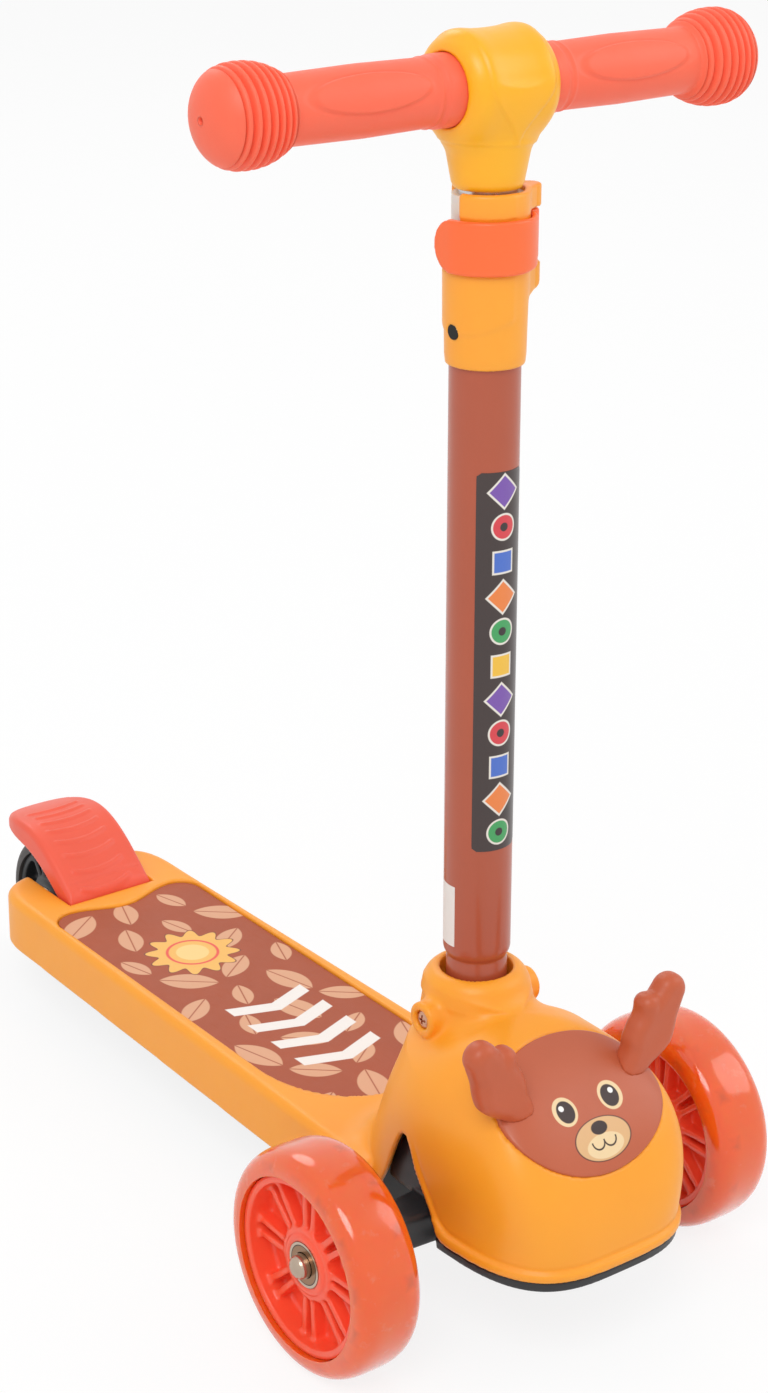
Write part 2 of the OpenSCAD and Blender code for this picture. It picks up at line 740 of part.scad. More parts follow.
// T joint: a rounded barrel across the bar and a socket down to the tube.
module t_joint() color([0.99, 0.7, 0.2]) on_column() difference() {
  union() {
    translate([0, 0, bar_z]) along_x() rotate_extrude($fn = round_n) polygon([
      [0, -barrel_half], [barrel_r - 6.5, -barrel_half], [barrel_r - 2.6, -barrel_half + 2],
      [barrel_r - 0.6, -barrel_half + 6], [barrel_r, -barrel_half + 11], [barrel_r - 0.6, 0],
      [barrel_r, barrel_half - 11], [barrel_r - 0.6, barrel_half - 6],
      [barrel_r - 2.6, barrel_half - 2], [barrel_r - 6.5, barrel_half], [0, barrel_half]]);
    rotate_extrude($fn = round_n) polygon([
      [0, socket_low], [14.6, socket_low], [15.6, socket_low + 1.4], [18.9, bar_z - 24],
      [21.8, bar_z - 12], [22.5, bar_z], [0, bar_z]]);
  }
  translate([0, 0, socket_low - 1]) cylinder(d = inner_d + 2 * seat_gap, h = bar_z - 14 - socket_low + 1, $fn = round_n);
  translate([0, 0, bar_z]) along_x() {
    rod(bar_d + 2 * seat_gap, 80);
    both_ends() translate([0, 0, barrel_half - 5]) cylinder(r = flange_r + seat_gap, h = 10, $fn = round_n);
  }
}

socket_low = sleeve_top + pass_gap;
flange_r = 16.4;
bar_wall = 1.5;
cap_t = 6;

module cross_tube() color([0.7, 0.7, 0.72]) on_column() translate([0, 0, bar_z]) along_x()
  tube(bar_d, bar_d - 2 * bar_wall, 2 * (bar_half - 20));

// Turned outline of a grip from the T joint outwards, with ribs round its ball.
grip_in = barrel_half - 5 + seat_gap;
ball_from = bar_half - 40;
rib_n = 6;
rib_step = 4;

function ball_radius(x) =
  let (u = (x - ball_from - 16) / 24)
  x < ball_from + 16 ? ball_r - 5 * pow((ball_from + 16 - x) / 16, 2.4) : ball_r * pow(1 - pow(u, 2.6), 0.45);

module grip() color([1, 0.43, 0.36]) on_column() translate([0, 0, bar_z]) along_x() difference() {
  rotate_extrude($fn = round_n) polygon(concat(
    [[0, grip_in], [flange_r, grip_in], [flange_r, barrel_half + 5], [flange_r - 1, barrel_half + 7],
      [grip_r, barrel_half + 8], [grip_r + 0.6, (barrel_half + ball_from) / 2], [grip_r, ball_from - 1]],
    [for (k = [0 : rib_n - 1], h = [0, 1])
      let (x = ball_from + rib_step * (k + 0.5 * h))
      [ball_radius(x) - (h == 0 ? 1.2 : 0), x]],
    [for (k = [1 : 7])
      let (x = ball_from + rib_step * rib_n + (bar_half - ball_from - rib_step * rib_n) * sin(k * 90 / 7))
      [k == 7 ? 0 : ball_radius(x), x]]));
  translate([0, 0, grip_in - 1]) cylinder(d = bar_d + 2 * seat_gap, h = bar_half - 20 - grip_in + 1.1, $fn = round_n);
  translate([0, 0, bar_half - cap_t]) cylinder(d = 3, h = 20, $fn = round_n);
}

// ---------------------------------------------------------------- truck

hub_in = half_track - hub_w / 2 - washer_t;
boss_d = 15;

module truck() color([0.11, 0.11, 0.12]) difference() {
  union() {
    on_pivot() rod(truck_hub_d, truck_hub_l);
    both_sides() {
      arm_block(0, 46, 11, -8.5, 9.5);
      hull() {
        translate([45, -11, front_r - 8.5]) cube([1, 22, 18]);
        translate([66, -9, front_r - 9]) cube([1, 18, 18]);
      }
      hull() {
        translate([66, -9, front_r - 9]) cube([1, 18, 18]);
        translate([80, -6, front_r - 6]) cube([1, 12, 12]);
      }
      translate([(60 + hub_in) / 2, 0, front_r]) along_x() rod(boss_d, hub_in - 60);
      translate([spring_x, 0, front_r + 5]) cylinder(d = spring_d + 4, h = spring_foot - front_r - 5, $fn = round_n);
    }
  }
  on_pivot() rod(pivot_d + 2 * run_gap, 60);
  both_sides() translate([(50 + half_track) / 2, 0, front_r]) along_x() rod(axle_d + 2 * seat_gap, half_track - 50);
}

// Part of the arm from x0 to x1 with half depth dy, from z0 to z1 about the axle.
module arm_block(x0, x1, dy, z0, z1) {
  translate([x0, -dy, front_r + z0]) cube([x1 - x0, 2 * dy, z1 - z0]);
}

pin_grip = rib_at + rib_t;

module pivot_pin() color([0.7, 0.7, 0.72]) on_pivot() {
  rod(pivot_d, 2 * pin_grip + 1);
  translate([0, 0, -pin_grip - 4]) cylinder(d = pivot_d + 6, h = 4 - seat_gap, $fn = 6);
}

module pivot_nut() color([0.7, 0.7, 0.72]) on_pivot() difference() {
  translate([0, 0, pin_grip + seat_gap]) cylinder(d = pivot_d + 6, h = 6, $fn = 6);
  rod(pivot_d + 2 * seat_gap, 2 * pin_grip + 20);
}

// Coil spring of round wire standing on z = 0.
spring_wire = 1.8;
spring_turns = 5;
wire_n = 6;
coil_n = 14;

module coil(d, h) {
  steps = spring_turns * coil_n;
  rise = (h - spring_wire) / steps;
  pts = [for (k = [0 : steps], j = [0 : wire_n - 1])
    let (a = 360 * k / coil_n, b = 360 * j / wire_n, r = d / 2 + spring_wire / 2 * cos(b))
    [r * cos(a), r * sin(a), spring_wire / 2 + rise * k + spring_wire / 2 * sin(b)]];
  polyhedron(points = pts, faces = concat(
    [[for (j = [0 : wire_n - 1]) j]],
    [for (k = [0 : steps - 1], j = [0 : wire_n - 1]) each [
      [k * wire_n + j, (k + 1) * wire_n + j, (k + 1) * wire_n + (j + 1) % wire_n],
      [k * wire_n + j, (k + 1) * wire_n + (j + 1) % wire_n, k * wire_n + (j + 1) % wire_n]]],
    [[for (j = [wire_n - 1 : -1 : 0]) steps * wire_n + j]]), convexity = 12);
}

module return_spring() color([0.65, 0.65, 0.67])
  translate([spring_x, 0, spring_foot + 0.2]) coil(spring_d, spring_seat - spring_foot - 0.4);

// ---------------------------------------------------------------- axles

axle_in = 58;
axle_out = half_track + hub_w / 2 + washer_t;

module front_axles() color([0.75, 0.72, 0.68]) both_sides() translate([0, 0, front_r]) along_x() {
  translate([0, 0, axle_in]) cylinder(d = axle_d, h = axle_out - axle_in, $fn = round_n);
  translate([0, 0, axle_out]) dome_head();
}

// Domed bolt head that stands on z = 0.
module dome_head() {
  head_r = axle_head_d / 2;
  rotate_extrude($fn = round_n) polygon(concat([[0, 0], [head_r, 0], [head_r, 1]],
    [for (k = [1 : 6]) [head_r * cos(k * 15), 1 + 4 * sin(k * 15)]]));
}

module inner_race_pair() {
  both_ends() translate([0, 0, hub_w / 2 - bearing_w / 2]) tube(race_d, axle_d + 2 * seat_gap, bearing_w);
}

module spacer_tube() {
  tube(race_d, axle_d + 2 * seat_gap, hub_w - 2 * bearing_w - 0.04);
}

module front_inner_races() color([0.8, 0.8, 0.8])
  both_sides() translate([half_track, 0, front_r]) along_x() inner_race_pair();

module front_spacers() color([0.6, 0.6, 0.6])
  both_sides() translate([half_track, 0, front_r]) along_x() spacer_tube();

module front_washers() color([0.75, 0.75, 0.75])
  both_sides() translate([half_track, 0, front_r]) along_x()
    both_ends() translate([0, 0, (hub_w + washer_t) / 2]) tube(race_d, axle_d + 2 * seat_gap, washer_t - 0.04);

// ---------------------------------------------------------------- wheels

shield_gap = 0.35;

// Outer race of a bearing with its shields, reaching in to the inner race.
module outer_race_pair() {
  both_ends() translate([0, 0, hub_w / 2 - bearing_w / 2]) difference() {
    rod(bearing_d, bearing_w - 0.4);
    rod(bearing_d - 4, bearing_w - 1.6);
    rod(race_d + 2 * shield_gap, bearing_w + 2);
  }
}

// Turned wheel core: hub, web and rim, with double spokes on both faces.
module wheel_core(rim_d, rim_w) {
  hub_d = bearing_d + 8;
  rim_in = rim_d - 2 * rim_t;
  difference() {
    union() {
      tube(rim_d, rim_in, rim_w);
      rod(hub_d, hub_w);
      rod(rim_in + 1, web_t);
      for (k = [0 : spoke_count - 1], s = [-1, 1]) rotate([0, 0, 360 * k / spoke_count + s * 7])
        translate([hub_d / 2 - 2, -spoke_t / 2, -hub_w / 2 + 2.5])
          cube([(rim_in - hub_d) / 2 + 3, spoke_t, hub_w - 5]);
    }
    rod(race_d + 3, hub_w + 2);
    both_ends() translate([0, 0, hub_w / 2 - bearing_w])
      cylinder(d = bearing_d + 2 * seat_gap, h = bearing_w + 1, $fn = round_n);
  }
}

// Solid tyre cast on a rim, with full rounded shoulders.
module tyre_ring(od, rim_d, w) {
  base = rim_d / 2 + seat_gap;
  rotate_extrude($fn = 96) polygon([for (k = [0 : 18])
    let (t = 10 * k)
    [base + (od / 2 - base) * signed_pow(sin(t), 0.62), w / 2 * signed_pow(cos(t), 0.5)]]);
}

light_w = 20;
light_l = 9;
light_t = 3;

module light_ring(g) {
  for (k = [0 : light_count - 1]) rotate([0, 0, 360 * (k + 0.5) / light_count])
    translate([front_rim_d / 2 + 0.1 - g, -light_l / 2 - g, -light_w / 2 - g])
      cube([light_t + 2 * g, light_l + 2 * g, light_w + 2 * g]);
}

module front_core() translate([half_track, 0, front_r]) along_x() wheel_core(front_rim_d, front_rim_w);

module front_tyre() translate([half_track, 0, front_r]) along_x() difference() {
  tyre_ring(front_wheel_d, front_rim_d, front_tyre_w);
  light_ring(0.1);
}

module front_lights() translate([half_track, 0, front_r]) along_x() light_ring(0);

module front_outer_races() translate([half_track, 0, front_r]) along_x() outer_race_pair();

module on_rear_axle() { translate([0, wheelbase, rear_r]) along_x() children(); }

rear_side = fork_x + fork_t;

module rear_axle() color([0.6, 0.6, 0.62]) on_rear_axle() {
  rod(axle_d, 2 * rear_side + 4);
  translate([0, 0, -rear_side - 3]) cylinder(d = 12, h = 3 - seat_gap, $fn = round_n);
}

module rear_axle_nut() color([0.6, 0.6, 0.62]) on_rear_axle() difference() {
  translate([0, 0, rear_side + seat_gap]) cylinder(d = 12, h = 3.4, $fn = 6);
  rod(axle_d + 2 * seat_gap, 100);
}

module rear_inner_races() color([0.8, 0.8, 0.8]) on_rear_axle() inner_race_pair();

module rear_spacers() color([0.6, 0.6, 0.62]) on_rear_axle() {
  spacer_tube();
  both_ends() translate([0, 0, (hub_w / 2 + fork_x) / 2])
    tube(race_d, axle_d + 2 * seat_gap, fork_x - hub_w / 2 - 0.04);
}

module rear_core() color([0.1, 0.1, 0.1]) on_rear_axle() wheel_core(rear_rim_d, rear_tyre_w - 3);

module rear_tyre() color([0.22, 0.23, 0.24]) on_rear_axle() tyre_ring(rear_wheel_d, rear_rim_d, rear_tyre_w);

module rear_outer_races() color([0.7, 0.7, 0.7]) on_rear_axle() outer_race_pair();

// ---------------------------------------------------------------- brake

brake_wall = 2.6;
brake_half = brake_w / 2;
brake_front = slot_start + 1;
brake_end = brake_front + 85;

// Height of the brake's top over the deck, along its length.
function brake_height(u) = deck_top + 2 + (brake_top - deck_top - 2) * sin(min(1, u / 0.62) * 90)
  - 7 * pow(max(0, u - 0.62) / 0.38, 2);

// Depth of the side walls below the top.
function brake_skirt(u) = 13 * (1 - pow(u, 3)) + 3;

// Half width of the brake, rounded off towards its free end.
function brake_side(u) = u < 0.6 ? brake_half : brake_half * pow(1 - pow((u - 0.6) / 0.405, 2.8), 0.4);

brake_steps = [for (k = [0 : 16]) k / 16];

function brake_profile(lift, skirt) = concat(
  [for (u = brake_steps) [brake_front + u * (brake_end - brake_front), brake_height(u) + lift]],
  [for (k = [16 : -1 : 0])
    let (u = brake_steps[k])
    [brake_front + u * (brake_end - brake_front), brake_height(u) + lift - brake_skirt(u) * skirt - 1]]);

module across(w) { rotate([90, 0, 90]) linear_extrude(w, center = true) children(); }

module brake_plan(g) {
  polygon(concat(
    [for (u = brake_steps) [brake_side(u) - g, brake_front + u * (brake_end - g - brake_front)]],
    [for (k = [16 : -1 : 0])
      let (u = brake_steps[k])
      [-brake_side(u) + g, brake_front + u * (brake_end - g - brake_front)]]));
}

knuckle_half = brake_half - 0.4;

module brake() color([0.96, 0.41, 0.35]) difference() {
  union() {
    difference() {
      intersection() {
        across(brake_w) polygon(brake_profile(0, 1));
        linear_extrude(200) brake_plan(0);
      }
      intersection() {
        across(brake_w) polygon(brake_profile(-brake_wall, 2));
        linear_extrude(200) brake_plan(brake_wall);
        translate([-50, brake_front + brake_wall, 0]) cube([100, 200, 200]);
      }
    }
    // knuckles on the pin, joined to the side walls
    both_sides() {
      translate([(knuckle_half + 9) / 2, brake_at, brake_z]) along_x() rod(10, knuckle_half - 9);
      translate([knuckle_half - brake_wall, brake_at - 5, brake_z]) cube([brake_wall, 10, 20]);
    }
  }
  translate([0, brake_at, brake_z]) along_x() rod(brake_pin_d + 2 * run_gap, 100);
}

// Rubbing block under the brake, above the wheel.
module brake_pad() color([0.15, 0.15, 0.15]) difference() {
  intersection() {
    across(20) polygon(brake_profile(-brake_wall - seat_gap, 1));
    translate([-10, wheelbase - 16, rear_wheel_d + 4.4]) cube([20, 22, 40]);
  }
}

module brake_pin() color([0.7, 0.7, 0.72])
  translate([0, brake_at, brake_z]) along_x() rod(brake_pin_d, 2 * brake_pin_half - 1);

module brake_spring() color([0.65, 0.65, 0.67])
  translate([-7, brake_at, brake_z]) along_x() coil(brake_pin_d + 2.6, 14);

// ---------------------------------------------------------------- parts

on_ground() deck_shell();
on_ground() bottom_tray();
on_ground() front_cover();
on_ground() deck_mat();
on_ground() tray_screws();
on_ground() cover_screws();
on_ground() face_plate();
on_ground() mirror([1, 0, 0]) antler_right_side();  // antler_left
on_ground() antler_right_side();  // antler_right
on_ground() steering_tube();
on_ground() tube_label();
on_ground() neck_bolt();
on_ground() neck_nut();
on_ground() clamp_sleeve();
on_ground() clamp_screw();
on_ground() tube_bush();
on_ground() lever_pin();
on_ground() clamp_lever();
on_ground() inner_tube();
on_ground() t_joint();
on_ground() cross_tube();
on_ground() mirror([1, 0, 0]) grip();  // grip_left
on_ground() grip();  // grip_right
on_ground() truck();
on_ground() pivot_pin();
on_ground() pivot_nut();
on_ground() mirror([1, 0, 0]) return_spring();  // spring_left
on_ground() return_spring();  // spring_right
on_ground() front_axles();
on_ground() front_inner_races();
on_ground() front_spacers();
on_ground() front_washers();
on_ground() mirror([1, 0, 0]) color([1, 0.32, 0.2]) front_core();  // core_left
on_ground() mirror([1, 0, 0]) color([1, 0.4, 0.28]) front_tyre();  // tyre_left
on_ground() mirror([1, 0, 0]) color([0.7, 0.7, 0.7]) front_outer_races();  // outer_races_left
on_ground() mirror([1, 0, 0]) color([0.5, 0.25, 0.2]) front_lights();  // lights_left
on_ground() color([1, 0.32, 0.2]) front_core();  // core_right
on_ground() color([1, 0.4, 0.28]) front_tyre();  // tyre_right
on_ground() color([0.7, 0.7, 0.7]) front_outer_races();  // outer_races_right
on_ground() color([0.5, 0.25, 0.2]) front_lights();  // lights_right
on_ground() rear_axle();
on_ground() rear_axle_nut();
on_ground() rear_inner_races();
on_ground() rear_spacers();
on_ground() rear_core();
on_ground() rear_tyre();
on_ground() rear_outer_races();
on_ground() brake();
on_ground() brake_pad();
on_ground() brake_pin();
on_ground() brake_spring();
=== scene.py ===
# Looks of a small child's three-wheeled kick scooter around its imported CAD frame.
# Shapes are worked out in millimetres with y = 0 over the front axle, and
# addPiece() moves them into the frame in metres.
import json
import math

import bpy
import numpy as np
from mathutils import Matrix, Vector


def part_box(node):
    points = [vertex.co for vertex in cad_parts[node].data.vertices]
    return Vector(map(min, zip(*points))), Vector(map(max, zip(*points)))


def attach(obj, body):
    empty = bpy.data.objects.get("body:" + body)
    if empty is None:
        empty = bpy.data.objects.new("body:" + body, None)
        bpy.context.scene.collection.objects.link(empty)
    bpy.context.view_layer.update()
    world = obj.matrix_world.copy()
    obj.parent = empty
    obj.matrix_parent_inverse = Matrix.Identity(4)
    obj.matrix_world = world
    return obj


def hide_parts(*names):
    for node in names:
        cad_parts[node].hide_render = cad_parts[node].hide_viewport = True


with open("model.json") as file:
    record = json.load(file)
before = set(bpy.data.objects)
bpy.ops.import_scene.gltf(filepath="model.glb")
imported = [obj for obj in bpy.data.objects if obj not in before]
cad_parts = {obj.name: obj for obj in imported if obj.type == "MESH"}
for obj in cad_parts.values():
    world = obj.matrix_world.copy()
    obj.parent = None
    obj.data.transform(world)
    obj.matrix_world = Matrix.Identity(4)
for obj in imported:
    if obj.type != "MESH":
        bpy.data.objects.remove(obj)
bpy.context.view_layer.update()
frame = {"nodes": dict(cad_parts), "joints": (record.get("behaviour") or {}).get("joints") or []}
print("frame loaded:", len(frame["nodes"]), "nodes")

# places read from the frame, in millimetres
joints = {j["name"]: j for j in frame["joints"]}
wheelPlace = [1000 * v for v in joints["wheel_right_spin"]["pos_m"]]
rearPlace = [1000 * v for v in joints["rear_wheel_spin"]["pos_m"]]
frontY = wheelPlace[1]
halfTrack = wheelPlace[0]
frontR = wheelPlace[2]
rearR = rearPlace[2]
wheelbase = rearPlace[1] - frontY
columnAxis = np.array(joints["mast_height"]["axis"], float)
rakeSin, rakeCos = columnAxis[1], columnAxis[2]
tubeLow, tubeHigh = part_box("steering_tube")
tubeY, tubeZ = 500 * (tubeLow[1] + tubeHigh[1]), 500 * (tubeLow[2] + tubeHigh[2])
columnY = tubeY - tubeZ * rakeSin / rakeCos - frontY    # where the column's axis meets the floor
pivotZ = 1000 * joints["truck_lean"]["pos_m"][2]
pivotDir = joints["truck_lean"]["axis"]


def middleAlong(node):
    # middle of a node's box, in millimetres along the column
    low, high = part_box(node)
    return 500 * (low[2] + high[2]) * rakeCos + (500 * (low[1] + high[1]) - frontY - columnY) * rakeSin


def alongColumn(node, radius):
    # lowest and highest point of a round node, in millimetres along the column
    low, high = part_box(node)
    return (1000 * low[2] + radius * rakeSin) / rakeCos, (1000 * high[2] - radius * rakeSin) / rakeCos


def toFrame(points):
    # millimetres from the front axle to metres in the frame
    return (np.asarray(points, float) + [0, frontY, 0]) * 0.001


def addPiece(name, points, faceSets, body, material, hides=(), crease=None):
    # One mesh from points in millimetres and arrays of triangles or quads.
    mesh = bpy.data.meshes.new(name)
    points = toFrame(points)
    sizes = np.concatenate([np.full(len(f), f.shape[1]) for f in faceSets])
    corners = np.concatenate([f.ravel() for f in faceSets]).astype(np.int32)
    mesh.vertices.add(len(points))
    mesh.vertices.foreach_set("co", points.ravel())
    mesh.loops.add(len(corners))
    mesh.loops.foreach_set("vertex_index", corners)
    mesh.polygons.add(len(sizes))
    mesh.polygons.foreach_set("loop_start", (np.cumsum(sizes) - sizes).astype(np.int32))
    mesh.polygons.foreach_set("use_smooth", np.ones(len(sizes), bool))
    mesh.update(calc_edges=True)
    mesh.validate()
    if crease:
        mesh.set_sharp_from_angle(angle=math.radians(crease))
    piece = bpy.data.objects.new(name, mesh)
    bpy.context.scene.collection.objects.link(piece)
    mesh.materials.append(material)
    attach(piece, body)
    if hides:
        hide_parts(*hides)
    return piece


def addUv(piece, name, flat):
    # one place on the print per point, handed to each face corner that uses the point
    layer = piece.data.uv_layers.new(name=name)
    index = np.zeros(len(piece.data.loops), np.int32)
    piece.data.loops.foreach_get("vertex_index", index)
    layer.data.foreach_set("uv", flat[index].ravel())


def gridQuads(rows, cols, wrap=True):
    # Quads between the rows of a grid of points, closed round the columns if wrap.
    i = np.arange(rows - 1)[:, None]
    j = np.arange(cols if wrap else cols - 1)[None, :]
    k = (j + 1) % cols
    return np.stack([i * cols + j, i * cols + k, (i + 1) * cols + k, (i + 1) * cols + j], -1).reshape(-1, 4)


def capFan(ring, centre, flip):
    # Triangles from a closed ring of point numbers to one centre point.
    near, far = ring, np.roll(ring, -1)
    if flip:
        near, far = far, near
    return np.stack([near, far, np.full(len(ring), centre)], -1)


def tubeFaces(rows, turns):
    # Faces of a tube of rows rings whose two ends close on the two points after them.
    count = rows * turns
    first = np.arange(turns)
    return [gridQuads(rows, turns), capFan(first, count, True), capFan(first + count - turns, count + 1, False)]


def lathe(profile, turns=96):
    # Turned body: x = r cos a, y = r sin a, z = h for each (r, h) of the profile,
    # with its two ends closed to the axis.
    profile = np.array(profile, float)
    angle = np.linspace(0, 2 * np.pi, turns, endpoint=False)[None, :]
    r = profile[:, :1] + 0 * angle
    h = profile[:, 1:] + 0 * angle
    points = np.stack([r * np.cos(angle), r * np.sin(angle), h], -1).reshape(-1, 3)
    ends = np.array([[0, 0, profile[0, 1]], [0, 0, profile[-1, 1]]])
    return np.vstack([points, ends]), tubeFaces(len(profile), turns)


def turnedAcross(points, centre):
    # Lays a body made along +Z along +X and moves it to centre.
    x, y, z = points.T
    return np.stack([z, x, y], -1) + np.array(centre, float)


def onColumn(points):
    # From the column's own frame, with +Z along it, to the scooter's.
    x, y, z = np.asarray(points, float).T
    return np.stack([x, columnY + y * rakeCos + z * rakeSin, z * rakeCos - y * rakeSin], -1)


def columnFrame(x, y, z):
    # The column's frame: x, y across it and the height along it.
    across = (y - columnY) * rakeCos - z * rakeSin
    return x, across, (y - columnY) * rakeSin + z * rakeCos


def roundMin(a, b, k):
    # Lesser of two distances, with a fillet about k wide where they meet.
    h = np.clip(0.5 + 0.5 * (b - a) / k, 0, 1)
    return b + (a - b) * h - k * h * (1 - h)


def roundMax(a, b, k):
    # Greater of two distances, with an edge about k wide where they meet.
    return -roundMin(-a, -b, k)


def roundCorner(a, b, r):
    # Inside both a and b, with an outer edge of radius r.
    u, v = a + r, b + r
    return np.hypot(np.maximum(u, 0), np.maximum(v, 0)) + np.minimum(np.maximum(u, v), 0) - r


def smooth(t):
    # 0 to 1 along an S: t * t * (3 - 2 t), held at both ends
    t = np.clip(t, 0, 1)
    return t * t * (3 - 2 * t)


def hump(t):
    # bell of height 1 round t = 0
    return np.exp(-t ** 2)


def most(*distances):
    # greatest of several distances: inside all of their shapes
    total = distances[0]
    for one in distances[1:]:
        total = np.maximum(total, one)
    return total


def polygonDistance(u, v, corners):
    # Signed distance to a closed polygon in a plane, negative inside.
    corners = np.array(corners, float)
    best, within = np.inf, False
    for (au, av), (bu, bv) in zip(corners, np.roll(corners, -1, 0)):
        eu, ev = bu - au, bv - av
        share = np.clip(((u - au) * eu + (v - av) * ev) / (eu * eu + ev * ev), 0, 1)
        best = np.minimum(best, np.hypot(u - au - share * eu, v - av - share * ev))
        if av != bv:
            crosses = (av > v) != (bv > v)
            within = within ^ (crosses & (u < au + (v - av) / (bv - av) * eu))
    return np.where(within, -best, best)


boxCorners = np.array([[i, j, k] for i in (0, 1) for j in (0, 1) for k in (0, 1)])
boxEdges = [(0, 4), (1, 5), (2, 6), (3, 7), (0, 2), (1, 3), (4, 6), (5, 7), (0, 1), (2, 3), (4, 5), (6, 7)]


def levelSurface(field, xs, ys, zs, settle=3, step=0.02):
    # Surface where field(x, y, z) is zero, on a grid of boxes: one point in each box
    # that it crosses, at the mean of its crossings of the box's edges, then moved
    # along the field's slope onto the surface. One quad lies across each crossed edge.
    # The moulded pieces are made this way because their walls flow into each other in
    # soft fillets and holes, which no single grid of two parameters can follow.
    # settle is how often the points move, and step is the length of a slope's probe.
    axes = [np.asarray(a, float) for a in (xs, ys, zs)]
    value = field(axes[0][:, None, None], axes[1][None, :, None], axes[2][None, None, :])
    value = np.broadcast_to(value, [len(a) for a in axes]).astype(np.float32)
    solid = value < 0
    if any(solid.take(end, d).any() for d in range(3) for end in (0, -1)):
        print("grid cuts off an edge of", field.__name__)
    nx, ny, nz = solid.shape
    count = sum(solid[i:nx - 1 + i, j:ny - 1 + j, k:nz - 1 + k].astype(np.int8) for i, j, k in boxCorners)
    cells = np.argwhere((count > 0) & (count < 8))
    number = np.full(count.shape, -1, np.int64)
    number[tuple(cells.T)] = np.arange(len(cells))
    place = np.zeros((len(cells), 3))
    hits = np.zeros((len(cells), 1))
    low = np.stack([axes[d][cells[:, d]] for d in range(3)], -1)
    span = np.stack([axes[d][cells[:, d] + 1] for d in range(3)], -1) - low
    for a, b in boxEdges:
        fa = value[tuple((cells + boxCorners[a]).T)].astype(float)
        fb = value[tuple((cells + boxCorners[b]).T)].astype(float)
        crossed = (fa < 0) != (fb < 0)
        share = np.where(crossed, fa / np.where(crossed, fa - fb, 1), 0)[:, None]
        place += crossed[:, None] * (boxCorners[a] + share * (boxCorners[b] - boxCorners[a]))
        hits += crossed[:, None]
    points = low + span * place / hits
    for turn in range(settle):
        here = field(*points.T)
        slope = np.stack([field(*(points + step * np.eye(3)[d]).T) - here for d in range(3)], -1) / step
        move = here[:, None] * slope / np.maximum((slope ** 2).sum(1), 0.04)[:, None]
        points -= np.clip(move, -0.3 * span, 0.3 * span)
    quads = []
    for d in range(3):
        e, f = (d + 1) % 3, (d + 2) % 3
        lower = [slice(None)] * 3
        upper = [slice(None)] * 3
        lower[d], upper[d] = slice(0, -1), slice(1, None)
        edges = np.argwhere(solid[tuple(lower)] != solid[tuple(upper)])
        edges = edges[(edges[:, e] > 0) & (edges[:, f] > 0)
                      & (edges[:, e] < count.shape[e]) & (edges[:, f] < count.shape[f])]
        outward = solid[tuple(edges.T)]
        ring = []
        for de, df in ((-1, -1), (0, -1), (0, 0), (-1, 0)):
            at = edges.copy()
            at[:, e] += de
            at[:, f] += df
            ring.append(number[tuple(at.T)])
        ring = np.stack(ring, -1)
        quads.append(np.where(outward[:, None], ring, ring[:, ::-1]))
    return points, [np.vstack(quads)]


def steps(low, high, size):
    return np.linspace(low, high, int(round((high - low) / (size * 1))) + 1)


def addSolid(name, field, grid, body, material, hides):
    # A piece from a level surface on the grid (xs, ys, zs).
    points, faces = levelSurface(field, *grid)
    return addPiece(name, points, faces, body, material, hides)


def light(colour):
    # screen colour 0-255 to the linear colour that shaders use
    share = np.array(colour, float) / 255
    linear = np.where(share < 0.04045, share / 12.92, ((share + 0.055) / 1.055) ** 2.4)
    return (*[float(v) for v in linear], 1.0)


class Wire:
    # An output socket that takes part in sums: each sign adds one Math node.
    def __init__(self, tree, socket):
        self.tree = tree
        self.socket = socket

    def add(self, kind, settings, sockets, out=0):
        # any node: settings first, then a value or a wire for each named socket
        node = self.tree.nodes.new(kind)
        for name, value in settings.items():
            setattr(node, name, value)
        for name, value in sockets.items():
            if isinstance(value, Wire):
                self.tree.links.new(value.socket, node.inputs[name])
            else:
                node.inputs[name].default_value = value
        return Wire(self.tree, node.outputs[out])

    def part(self, out):
        # another output of the same node
        return Wire(self.tree, self.socket.node.outputs[out])

    def maths(self, operation, *others):
        # a Math node on this wire and the others, in their order
        return self.add("ShaderNodeMath", {"operation": operation}, dict(enumerate((self, *others))))

    def __add__(self, other):
        return self.maths("ADD", other)

    def __sub__(self, other):
        return self.maths("SUBTRACT", other)

    def __rsub__(self, other):
        return self * -1.0 + other

    def __mul__(self, other):
        return self.maths("MULTIPLY", other)

    def __truediv__(self, other):
        return self.maths("DIVIDE", other)

    def __rtruediv__(self, other):
        return self.add("ShaderNodeMath", {"operation": "DIVIDE"}, {0: other, 1: self})

    __radd__ = __add__
    __rmul__ = __mul__

    # the lesser and the greater of two, the value without its sign, the square root
    def least(self, other):
        return self.maths("MINIMUM", other)

    def most(self, other):
        return self.maths("MAXIMUM", other)

    def clipped(self, top=1.0):
        # held between 0 and top
        return self.least(top).most(0.0)

    def size(self):
        return self.maths("ABSOLUTE")

    def root(self):
        return self.maths("SQRT")


def startMaterial(name):
    # Empty material, and its Object coordinates in metres.
    material = bpy.data.materials.new(name)
    material.use_nodes = True
    tree = material.node_tree
    tree.nodes.clear()
    return material, Wire(tree, tree.nodes.new("ShaderNodeTexCoord").outputs["Object"])


def finishMaterial(material, shader):
    # joins the shader to the material's output
    output = material.node_tree.nodes.new("ShaderNodeOutputMaterial")
    material.node_tree.links.new(shader.socket, output.inputs["Surface"])
    return material


def noise(place, scale, detail=3.0, rough=0.55):
    # soft noise between 0 and 1, scale blots to a metre
    return place.add("ShaderNodeTexNoise", {}, {"Vector": place, "Scale": scale, "Detail": detail,
                                               "Roughness": rough})


